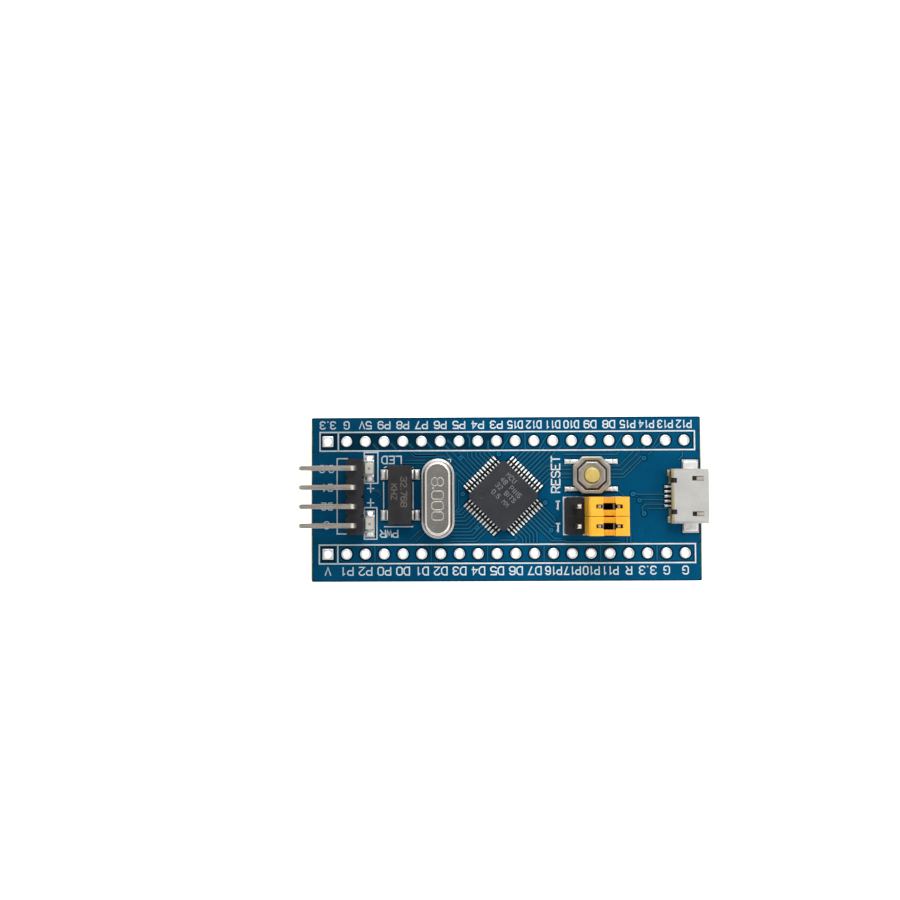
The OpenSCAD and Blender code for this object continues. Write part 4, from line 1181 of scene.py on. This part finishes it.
# ------------------------------------------------------------ clock crystal
refine("clock_crystal_body", "clock_crystal_moulding", MOULD_CLOCK, 0.07, 3)
refine("clock_crystal_terminals", "clock_crystal_terminals_tinned", MCU_LEAD,
       0.03, 2, smooth=50)
keep("clock_crystal_cylinder", LEAD)
keep("clock_crystal_fork", QUARTZ)
bm = bmesh.new()
text(bm, "32.768", -13.75, 0.75, 0.78, -90, 0.13, 4.149, 4.154, 0.74, 0.22)
text(bm, "KHZ", -15.05, 0.75, 0.74, -90, 0.13, 4.149, 4.154, 0.74, 0.28)
close("clock_crystal_marking", bm, MARK_CLOCK,
      smooth=20)

# ------------------------------------------------------------ reset switch
keep("reset_switch_base", BASE_BLACK)
bm = bmesh.new()
rings = []
for r, z in ((0.0, 2.15 + 0.3), (0.25, 2.446), (0.5, 2.43), (0.75, 2.395),
             (1.0, 2.35), (1.25, 2.26), (1.44, 2.175), (1.5, 2.15),
             (1.7, 2.15), (1.7, 2.2), (1.68, 2.22), (1.54, 2.22),
             (1.48, 2.24), (1.28, 2.33), (1.02, 2.42), (0.76, 2.465),
             (0.5, 2.5), (0.25, 2.515), (0.0, 2.52)):
    rings.append([(x, y, z) for x, y in
                  circle(SWITCH_AT[0], SWITCH_AT[1], max(r, 0.001), 48)])
loft(bm, rings)
ob = close("reset_switch_dome_pressed_steel", bm, DOME,
           smooth=40)
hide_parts("reset_switch_dome")
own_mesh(ob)
refine("reset_switch_terminals", "reset_switch_terminals_tinned", LEAD,
       0.03, 2, smooth=50)


def cut_ring(w, c, z, lift=None, r=None):
    """Ring on a square with cut corners; r turns it into a circle."""
    h, q = w / 2, w / 2 - c
    pts = []
    for k in range(4):
        a = math.pi / 2 * k
        ca, sa = round(math.cos(a)), round(math.sin(a))
        edge = [(h, -q), (h, -q / 3), (h, q / 3), (h, q)]
        diag = [(h - c * t, q + c * t) for t in
                (0.12, 0.147, 0.153, 0.3, 0.5, 0.7, 0.747, 0.753, 0.88)]
        for j, (x, y) in enumerate(edge + diag):
            zz = z
            if lift is not None and 6 <= j <= 10:
                zz = lift
            if r is not None:
                ang = math.atan2(y, x)
                x, y = r * math.cos(ang), r * math.sin(ang)
            pts.append((SWITCH_AT[0] + x * ca - y * sa,
                        SWITCH_AT[1] + x * sa + y * ca, zz))
    return pts


bm = bmesh.new()
rings = [cut_ring(5.1, 1.25, 1.8, 2.12), cut_ring(5.1, 1.25, 2.5),
         cut_ring(5.08, 1.245, 2.58), cut_ring(5.02, 1.235, 2.64),
         cut_ring(4.93, 1.22, 2.685), cut_ring(4.82, 1.2, 2.7),
         cut_ring(4.18, 1.16, 2.7), cut_ring(4.1, 1.16, 2.69),
         cut_ring(4.04, 1.15, 2.64), cut_ring(3.99, 1.15, 2.55),
         cut_ring(3.91, 1.14, 2.48), cut_ring(3.82, 1.13, 2.48),
         cut_ring(3.74, 1.12, 2.58), cut_ring(3.67, 1.11, 2.75),
         cut_ring(3.62, 1.11, 2.85), cut_ring(3.55, 1.1, 2.915),
         cut_ring(3.45, 1.08, 2.945), cut_ring(3.32, 1.05, 2.95),
         cut_ring(2.9, 0.9, 2.95), cut_ring(2.6, 0.8, 2.95, r=1.17),
         cut_ring(2.6, 0.8, 2.935, r=1.125),
         cut_ring(2.6, 0.8, 2.9, r=1.108),
         cut_ring(2.6, 0.8, 2.8, r=1.105), cut_ring(3.1, 0.9, 2.8),
         cut_ring(3.42, 1.0, 2.7), cut_ring(3.75, 1.05, 2.42),
         cut_ring(4.7, 1.15, 2.42), cut_ring(4.7, 1.15, 1.8, 2.12)]
loft(bm, rings, False, False, join_ends=True)
ob = close("reset_switch_cover_drawn", bm, SWITCH,
           smooth=40)
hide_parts("reset_switch_cover")

bm = bmesh.new()
rings = []
bx, by = SWITCH_AT
for r, z in ((0.0, 2.55), (1.33, 2.55), (1.35, 2.57), (1.35, 2.68),
             (1.33, 2.7), (1.03, 2.7), (1.025, 2.74), (1.025, 3.24),
             (1.02, 3.28), (1.0, 3.305), (0.96, 3.322), (0.9, 3.33),
             (0.6, 3.322), (0.3, 3.316), (0.0, 3.315)):
    rings.append([(x, y, z) for x, y in circle(bx, by, max(r, 0.001), 48)])
loft(bm, rings)
ob = close("reset_button_turned", bm, BRASS, "button", 35)
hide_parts("reset_button")

# ------------------------------------------------------- headers and caps
refine("boot_header_strip", "boot_header_strip_moulded", BLACK, 0.05, 2)
refine("boot_header_pins", "boot_header_pins_plated", PIN_UP, 0.035, 2,
       smooth=40)
refine("debug_header_strip", "debug_header_strip_moulded", BLACK, 0.05, 2)
refine("debug_header_pins", "debug_header_pins_plated", PIN, 0.17, 5,
       smooth=60, angle=40)
for n in ("upper", "lower"):
    refine("jumper_cap_" + n, "jumper_cap_%s_moulded" % n, YELLOW, 0.04, 3,
           n + "_jumper")
    refine("jumper_contact_" + n, "jumper_contact_%s_sprung" % n, CONTACT,
           0.035, 2, n + "_jumper")

# parting grooves and pin seats on the header strips
bm = bmesh.new()
for j in (-1, 0, 1):
    y = SWD[1] + j * PITCH
    strip(bm, [(SWD[0] - 0.8, y), (SWD[0] + 0.8, y)], 0.16, 4.149, 4.156,
          0.3)
for i in (-0.5, 0.5):
    x = BOOT[0] + i * PITCH
    strip(bm, [(x, BOOT[1] - 2.1), (x, BOOT[1] + 2.1)], 0.16, 4.149, 4.156,
          0.3)
strip(bm, [(BOOT[0] - 3.6, BOOT[1]), (BOOT[0] + 3.6, BOOT[1])], 0.16, 4.149,
      4.156, 0.3)
close("header_strip_score_lines", bm, BASE_BLACK)
bm = bmesh.new()
for x, y in PIN_HOLES:
    h0, h1 = 0.5, 0.33
    outer = rect(x - h0, y - h0, x + h0, y + h0, 0.12)
    inner = rect(x - h1, y - h1, x + h1, y + h1, 0.02)
    rings = [[(px, py, 4.149) for px, py in outer],
             [(x + (px - x) * 0.94, y + (py - y) * 0.94, 4.18)
              for px, py in outer],
             [(px, py, 4.185) for px, py in inner],
             [(px, py, 4.149) for px, py in inner]]
    loft(bm, rings, False, False, join_ends=True)
close("header_pin_collars", bm, BLACK, smooth=30)

# ------------------------------------------------------------------- USB
refine("usb_shell", "usb_shell_formed", SHELL, 0.045, 2,
       angle=20)
refine("usb_insulator", "usb_insulator_moulded", BASE_BLACK, 0.03, 2)
refine("usb_contacts", "usb_contacts_plated", USB_CONTACT, 0.02, 2,
       smooth=50)

# ------------------------------------------------------------------ LEDs
for n, (lx, ly) in (("status", (-18.5, 3.93)), ("power", (-18.43, -3.55))):
    keep(n + "_led_base", LED_BASE)
    refine(n + "_led_terminals", n + "_led_terminals_plated", TIN, 0.015, 2)
    refine(n + "_led_lens", n + "_led_lens_cast", LENS, 0.05, 3)
keep("led_dies", GOLD)
bm = bmesh.new()
for lx, ly, s in ((-18.5, 3.93, 1), (-18.43, -3.55, -1)):
    for sx in (-1, 1):
        x0, y0 = lx + sx * 0.56, ly + s * 0.86
        tri = [(x0, y0), (x0 - sx * 0.3, y0), (x0, y0 - s * 0.26)]
        plate(bm, tri, [], 2.0, 2.016)
close("led_polarity_marks", bm, GREEN)
bm = bmesh.new()
for lx, ly in ((-18.5, 3.93), (-18.43, -3.55)):
    strip(bm, circle(lx, ly, 0.13, 16), 0.07, 2.499, 2.503, closed=True)
    plate(bm, circle(lx, ly, 0.07, 12), [], 2.498, 2.503)
close("led_bond_marks", bm, LED_DOT)

# -------------------------------------------------------------- lower face
refine("regulator_body", "regulator_body_moulded", MOULD_CLOCK, 0.04, 2)
refine("regulator_leads", "regulator_leads_tinned", LEAD, 0.03, 2,
       smooth=50)
refine("chip_capacitor_bodies", "chip_capacitor_bodies_fired", TAN, 0.05, 3)
refine("chip_capacitor_ends", "chip_capacitor_ends_plated", TIN, 0.04, 2)
keep("chip_resistor_bodies", WHITE)
refine("chip_resistor_coats", "chip_resistor_coats_glazed", COAT, 0.012, 2)
refine("chip_resistor_ends", "chip_resistor_ends_plated", TIN, 0.03, 2)
refine("pin_solder_joints", "pin_solder_joints_flowed", SOLDER, 0.03, 2,
       smooth=60)

CAPS = [(-11.5, 4.2, 0), (-11.5, -4.4, 0), (-5.6, 0, 90), (4.4, 0.2, 90),
        (0, 5.1, 0), (0, -5, 0), (17.5, 3.4, 90), (17.5, -3.4, 90)]
RESS = [(-16.6, 3.8, 90), (-16.6, -3.4, 90), (6.6, 4.3, 90),
        (6.6, -4.2, 90), (20.4, 1.6, 0), (20.4, -1.4, 0), (-8.4, -0.1, 90)]
bm = bmesh.new()
for x, y, a in CAPS + RESS:
    for s in (0, math.pi):
        tall = 0.5 if (x, y, a) in CAPS else 0.28
        mound(bm, x, y, -math.radians(a) + s, [
            (0.62, 1.19, 0.465, -0.047), (0.66, 1.13, 0.45, -0.09),
            (0.7, 1.03, 0.43, -0.05 - tall * 0.35),
            (0.74, 0.93, 0.415, -0.05 - tall * 0.7),
            (0.76, 0.86, 0.4, -0.05 - tall)], 0.25)
for i in (-1, 0, 1):
    mound(bm, -23.1, i * 0.95, 0, [
        (1.0, 1.68, 0.265, -0.047), (1.05, 1.64, 0.25, -0.1),
        (1.15, 1.55, 0.22, -0.16), (1.2, 1.45, 0.2, -0.2)], 0.3)
for i in (-1, 1):
    mound(bm, -23.1, i * 0.95, math.pi, [
        (1.0, 1.68, 0.265, -0.047), (1.05, 1.64, 0.25, -0.1),
        (1.15, 1.55, 0.22, -0.16), (1.2, 1.45, 0.2, -0.2)], 0.3)
close("solder_lower", bm, SOLDER, smooth=60)

low = [
    [(-22.0, 0.95), (-20.9, 0.95), (-19.2, 2.6), (-17.2, 2.6)],
    [(-22.0, -0.95), (-20.6, -0.95), (-19.0, -2.4), (-17.2, -2.4)],
    [(-24.4, 0.95), (-25.0, 1.5), (-25.0, 5.6), (-24.4, 6.2)],
    [(-24.4, -0.95), (-25.0, -1.5), (-25.0, -5.6), (-24.4, -6.2)],
    [(-16.6, 4.7), (-16.6, 5.4), (-15.6, 6.3)],
    [(-16.6, -4.3), (-16.6, -5.2), (-15.5, -6.3)],
    [(-12.4, 4.2), (-13.6, 4.2), (-14.6, 3.2), (-14.6, -1.0),
     (-13.0, -2.8), (-13.0, -4.4), (-12.4, -4.4)],
    [(-10.6, 4.2), (-9.4, 3.0), (-9.4, 1.2), (-8.4, 0.9)],
    [(-10.6, -4.4), (-9.2, -3.0), (-9.2, -1.4), (-8.4, -1.0)],
    [(-5.6, 0.9), (-5.6, 3.4), (-3.6, 5.1), (-0.9, 5.1)],
    [(-5.6, -0.9), (-5.6, -3.2), (-3.8, -5.0), (-0.9, -5.0)],
    [(0.9, 5.1), (2.4, 5.1), (4.4, 3.2), (4.4, 1.2)],
    [(0.9, -5.0), (2.4, -5.0), (4.4, -3.0), (4.4, -0.8)],
    [(6.6, 3.4), (6.6, 1.2), (8.4, -0.4), (8.4, -1.3)],
    [(6.6, -3.3), (6.6, -1.6), (7.4, -0.8), (8.6, -0.8)],
    [(6.6, 5.2), (7.6, 6.2)], [(6.6, -5.1), (7.6, -6.1)],
    [(10.2, 5.6), (13.5, 5.6), (15.6, 3.5), (15.6, 0.5), (17.5, -1.3),
     (17.5, -2.5)],
    [(17.5, 4.3), (17.5, 5.0), (18.7, 6.2)],
    [(17.5, -4.3), (17.5, -5.2), (18.5, -6.2)],
    [(19.5, 1.6), (18.2, 1.6), (17.5, 2.3), (17.5, 2.5)],
    [(19.5, -1.4), (18.2, -1.4), (17.5, -2.0)],
    [(21.3, 1.6), (23.4, 1.6), (24.6, 2.8), (24.6, 6.2)],
    [(21.3, -1.4), (23.4, -1.4), (24.6, -2.6), (24.6, -6.2)],
    [(-3.4, 2.2), (-1.0, 2.2), (0.6, 0.6), (2.6, 0.6)],
    [(-3.4, 1.4), (-1.4, 1.4), (0.2, -0.2), (2.6, -0.2)],
    [(-3.4, -1.4), (-1.0, -1.4), (0.6, -2.6), (2.4, -2.6)],
    [(-2.6, -2.4), (-0.8, -2.4), (0.4, -3.4), (2.0, -3.4)],
    [(10.4, 1.6), (13.2, 1.6), (14.6, 0.4), (14.6, -0.9)],
    [(9.4, 2.6), (13.8, 2.6), (15.0, 1.4), (15.0, -0.2)],
]
bm_t, bm_g = bmesh.new(), bmesh.new()
for k, path in enumerate(low):
    strip(bm_g, path, 0.62, 0.001, -0.010 - 0.00005 * (k % 3), 0.04)
    strip(bm_t, path, 0.28, 0.001, -0.024, 0.2)
for x, y in VIAS:
    plate(bm_g, circle(x, y, 0.55, 28), [], 0.001, -0.0104)
    rings = [[(px, py, z) for px, py in circle(x, y, r, 24)]
             for r, z in ((0.3, 0.001), (0.29, -0.018), (0.26, -0.024),
                          (0.17, -0.024), (0.14, -0.014), (0.001, -0.0125),
                          (0.001, 0.001))]
    loft(bm_t, rings, False, False, join_ends=True)
for x, y in PIN_HOLES + LEAD_HOLES:
    plate(bm_g, circle(x, y, 1.0, 32), [circle(x, y, 0.6, 24)], 0.001,
          -0.0106)
for x, y, a in CAPS + RESS:
    c, s = (1.35, 0.62) if a == 0 else (0.62, 1.35)
    plate(bm_g, rect(x - c, y - s, x + c, y + s, 0.1), [], 0.001, -0.0108)
plate(bm_g, rect(-25.0, -1.45, -21.2, 1.45, 0.1), [], 0.001, -0.0109)
close("mask_over_gaps_lower", bm_g, MASK_GAP)
close("copper_traces_lower", bm_t, MASK_TRACE)

bm = bmesh.new()
Z0, Z_SILK = 0.001, -0.036
frame_line(-25.3, 6.35, 25.5, 8.9)
frame_line(-25.3, -8.9, 25.5, -6.4)
for i in range(1, 20):
    x = (HOLE_X[i - 1] + HOLE_X[i]) / 2
    for y0, y1 in ((8.9, 9.15), (-8.9, -9.15)):
        line([(x, y0), (x, y1)], 0.14)
for x, y, a in CAPS + RESS:
    c, s = (1.5, 0.75) if a == 0 else (0.75, 1.5)
    frame_line(x - c, y - s, x + c, y + s, 0.13)
frame_line(-25.1, -1.75, -21.1, 1.75, 0.14)
frame_line(7.85, -5.15, 15.45, 0.0, 0.16)
frame_line(-21.6, -5.05, -19.05, 5.25, 0.16)
for k, (x, y, a) in enumerate(CAPS):
    dx, dy = (0, -1.35) if a == 0 else (1.5, 0)
    text(bm, "C%d" % (k + 1), x + dx, y + dy, 0.8, 0 if a == 0 else 90,
         0.13, Z0, Z_SILK, 0.66, 0.25, True)
for k, (x, y, a) in enumerate(RESS):
    dx, dy = (0, 1.35) if a == 0 else (-1.5 if k == 3 else 1.5, 0)
    text(bm, "R%d" % (k + 1), x + dx, y + dy, 0.8, 0 if a == 0 else 90,
         0.13, Z0, Z_SILK, 0.66, 0.25, True)
for i, x in enumerate(HOLE_X):
    for y, s in ((9.83, UP_LABELS[i]), (-9.93, LOW_LABELS[i])):
        tight = len(s) > 2 and "." not in s
        text(bm, s, x, y, 1.0, 180, 0.17, Z0, Z_SILK,
             0.58 if tight else 0.7, 0.15 if tight else 0.24, True)
close("silkscreen_lower", bm, SILK, smooth=20)
bm = bmesh.new()
for k, (x, y, a) in enumerate(RESS):
    text(bm, ("103", "510", "104", "102", "220", "220", "105")[k], x, y,
         0.4, -a, 0.06, -0.509, -0.512, 0.6, 0.3, True)
close("chip_resistor_prints", bm, DIGIT)

# --------------------------------------------------------------- the room
def stage_mesh(name, bm, mat):
    me = bpy.data.meshes.new(name)
    bm.to_mesh(me)
    bm.free()
    me.materials.append(mat)
    ob = bpy.data.objects.new(name, me)
    scene.collection.objects.link(ob)
    return ob


g = Mat("floor_paper")
tone = g.noise(14, 3, 0.5)
g.use(g.mix(tone, (0.93, 0.93, 0.93, 1), (0.97, 0.97, 0.97, 1)), 0.9,
      g.bump(g.noise(900, 3, 0.6), 0.1, 1e-4))
g.p.inputs["Emission Color"].default_value = (1, 1, 1, 1)
g.p.inputs["Emission Strength"].default_value = 0.92
bm = bmesh.new()
near = [bm.verts.new((x, y, -0.00142)) for x, y in circle(0, 0, 0.06, 64)]
bm.faces.new(near)
stage_mesh("floor_near", bm, g.m)
bm = bmesh.new()
near = [bm.verts.new((x, y, -0.00142)) for x, y in circle(0, 0, 0.06, 64)]
far = [bm.verts.new((x, y, -0.00142)) for x, y in circle(0, 0, 1.5, 64)]
for i in range(64):
    j = (i + 1) % 64
    bm.faces.new((near[i], far[i], far[j], near[j]))
stage_mesh("floor_far", bm, g.m).visible_glossy = False

g = Mat("backdrop_white")
g.p.inputs["Emission Color"].default_value = (1, 1, 1, 1)
g.p.inputs["Emission Strength"].default_value = 1.0
bm = bmesh.new()
bmesh.ops.create_uvsphere(bm, u_segments=48, v_segments=24, radius=1.5)
bmesh.ops.reverse_faces(bm, faces=bm.faces)
dome = stage_mesh("backdrop", bm, g.m)
for flag in ("visible_diffuse", "visible_glossy", "visible_transmission",
             "visible_shadow", "visible_volume_scatter"):
    setattr(dome, flag, False)

world = bpy.data.worlds.new("studio")
scene.world = world
world.use_nodes = True
nt = world.node_tree
nt.nodes.clear()
wout = nt.nodes.new("ShaderNodeOutputWorld")
bg = nt.nodes.new("ShaderNodeBackground")
nt.links.new(bg.outputs[0], wout.inputs[0])
tc = nt.nodes.new("ShaderNodeTexCoord")
sep = nt.nodes.new("ShaderNodeSeparateXYZ")
nt.links.new(tc.outputs["Generated"], sep.inputs[0])
ramp = nt.nodes.new("ShaderNodeValToRGB")
mr = nt.nodes.new("ShaderNodeMapRange")
for i, v in enumerate((-1.0, 1.0, 0.0, 1.0)):
    mr.inputs[i + 1].default_value = v
nt.links.new(sep.outputs[2], mr.inputs[0])
nt.links.new(mr.outputs[0], ramp.inputs[0])
stops = [(0.0, (0.75, 0.75, 0.75)), (0.34, (0.7, 0.7, 0.7)),
         (0.42, (0.26, 0.24, 0.22)), (0.50, (0.15, 0.13, 0.12)),
         (0.60, (0.26, 0.24, 0.22)), (0.68, (1.35, 1.35, 1.35)),
         (0.95, (1.4, 1.4, 1.4)), (0.982, (0.34, 0.34, 0.35)),
         (1.0, (0.14, 0.14, 0.15))]
el = ramp.color_ramp.elements
while len(el) < len(stops):
    el.new(0.5)
for e_, (pos, c) in zip(el, stops):
    e_.position = pos
    e_.color = (c[0], c[1], c[2], 1)
# warm dark low band on the left, where a hand was
mrx = nt.nodes.new("ShaderNodeMapRange")
for i, v in enumerate((-0.9, 0.1, 1.0, 0.0)):
    mrx.inputs[i + 1].default_value = v
nt.links.new(sep.outputs[0], mrx.inputs[0])
mrz = nt.nodes.new("ShaderNodeMapRange")
for i, v in enumerate((0.25, 0.5, 1.0, 0.0)):
    mrz.inputs[i + 1].default_value = v
nt.links.new(sep.outputs[2], mrz.inputs[0])
mul = nt.nodes.new("ShaderNodeMath")
mul.operation = "MULTIPLY"
nt.links.new(mrx.outputs[0], mul.inputs[0])
nt.links.new(mrz.outputs[0], mul.inputs[1])
mx = nt.nodes.new("ShaderNodeMix")
mx.data_type = "RGBA"
nt.links.new(mul.outputs[0], mx.inputs[0])
nt.links.new(ramp.outputs[0], mx.inputs[6])
mx.inputs[7].default_value = (0.13, 0.06, 0.035, 1)
nt.links.new(mx.outputs[2], bg.inputs[0])
bg.inputs[1].default_value = 0.62


def area(name, loc, target, size, energy, color=(1, 1, 1)):
    d = bpy.data.lights.new(name, "AREA")
    d.shape = "SQUARE"
    d.size = size
    d.energy = energy
    d.color = color
    o = bpy.data.objects.new(name, d)
    scene.collection.objects.link(o)
    o.location = loc
    o.rotation_mode = "QUATERNION"
    o.rotation_quaternion = (Vector(target) - Vector(loc)).to_track_quat(
        "-Z", "Y")
    return o


area("key", (0.04, 0.30, 0.36), (0, 0, 0), 0.26, 1.05, (1, 0.995, 0.98))
area("fill", (0.26, -0.16, 0.3), (0, 0, 0), 0.3, 0.22)

# ------------------------------------------------------------------ camera
cam = bpy.data.cameras.new("camera")
cam.sensor_width = 36.0
cam.sensor_fit = "AUTO"
cam.lens = 36.0 * 1256.7 / 900.0
cam.clip_start = 0.005
cam.clip_end = 10.0
co = bpy.data.objects.new("camera", cam)
scene.collection.objects.link(co)
rot = (Matrix.Rotation(math.radians(-0.246), 4, "Z")
       @ Matrix.Rotation(math.radians(0.47), 4, "Y")
       @ Matrix.Rotation(math.radians(2.463), 4, "X"))
co.matrix_world = Matrix.Translation((-0.0062, -0.00091, 0.17187)) @ rot
scene.camera = co

vs_ = scene.view_settings
vs_.view_transform = "Standard"
vs_.look = "None"
vs_.exposure = 0.0
vs_.gamma = 1.0

bpy.context.view_layer.update()
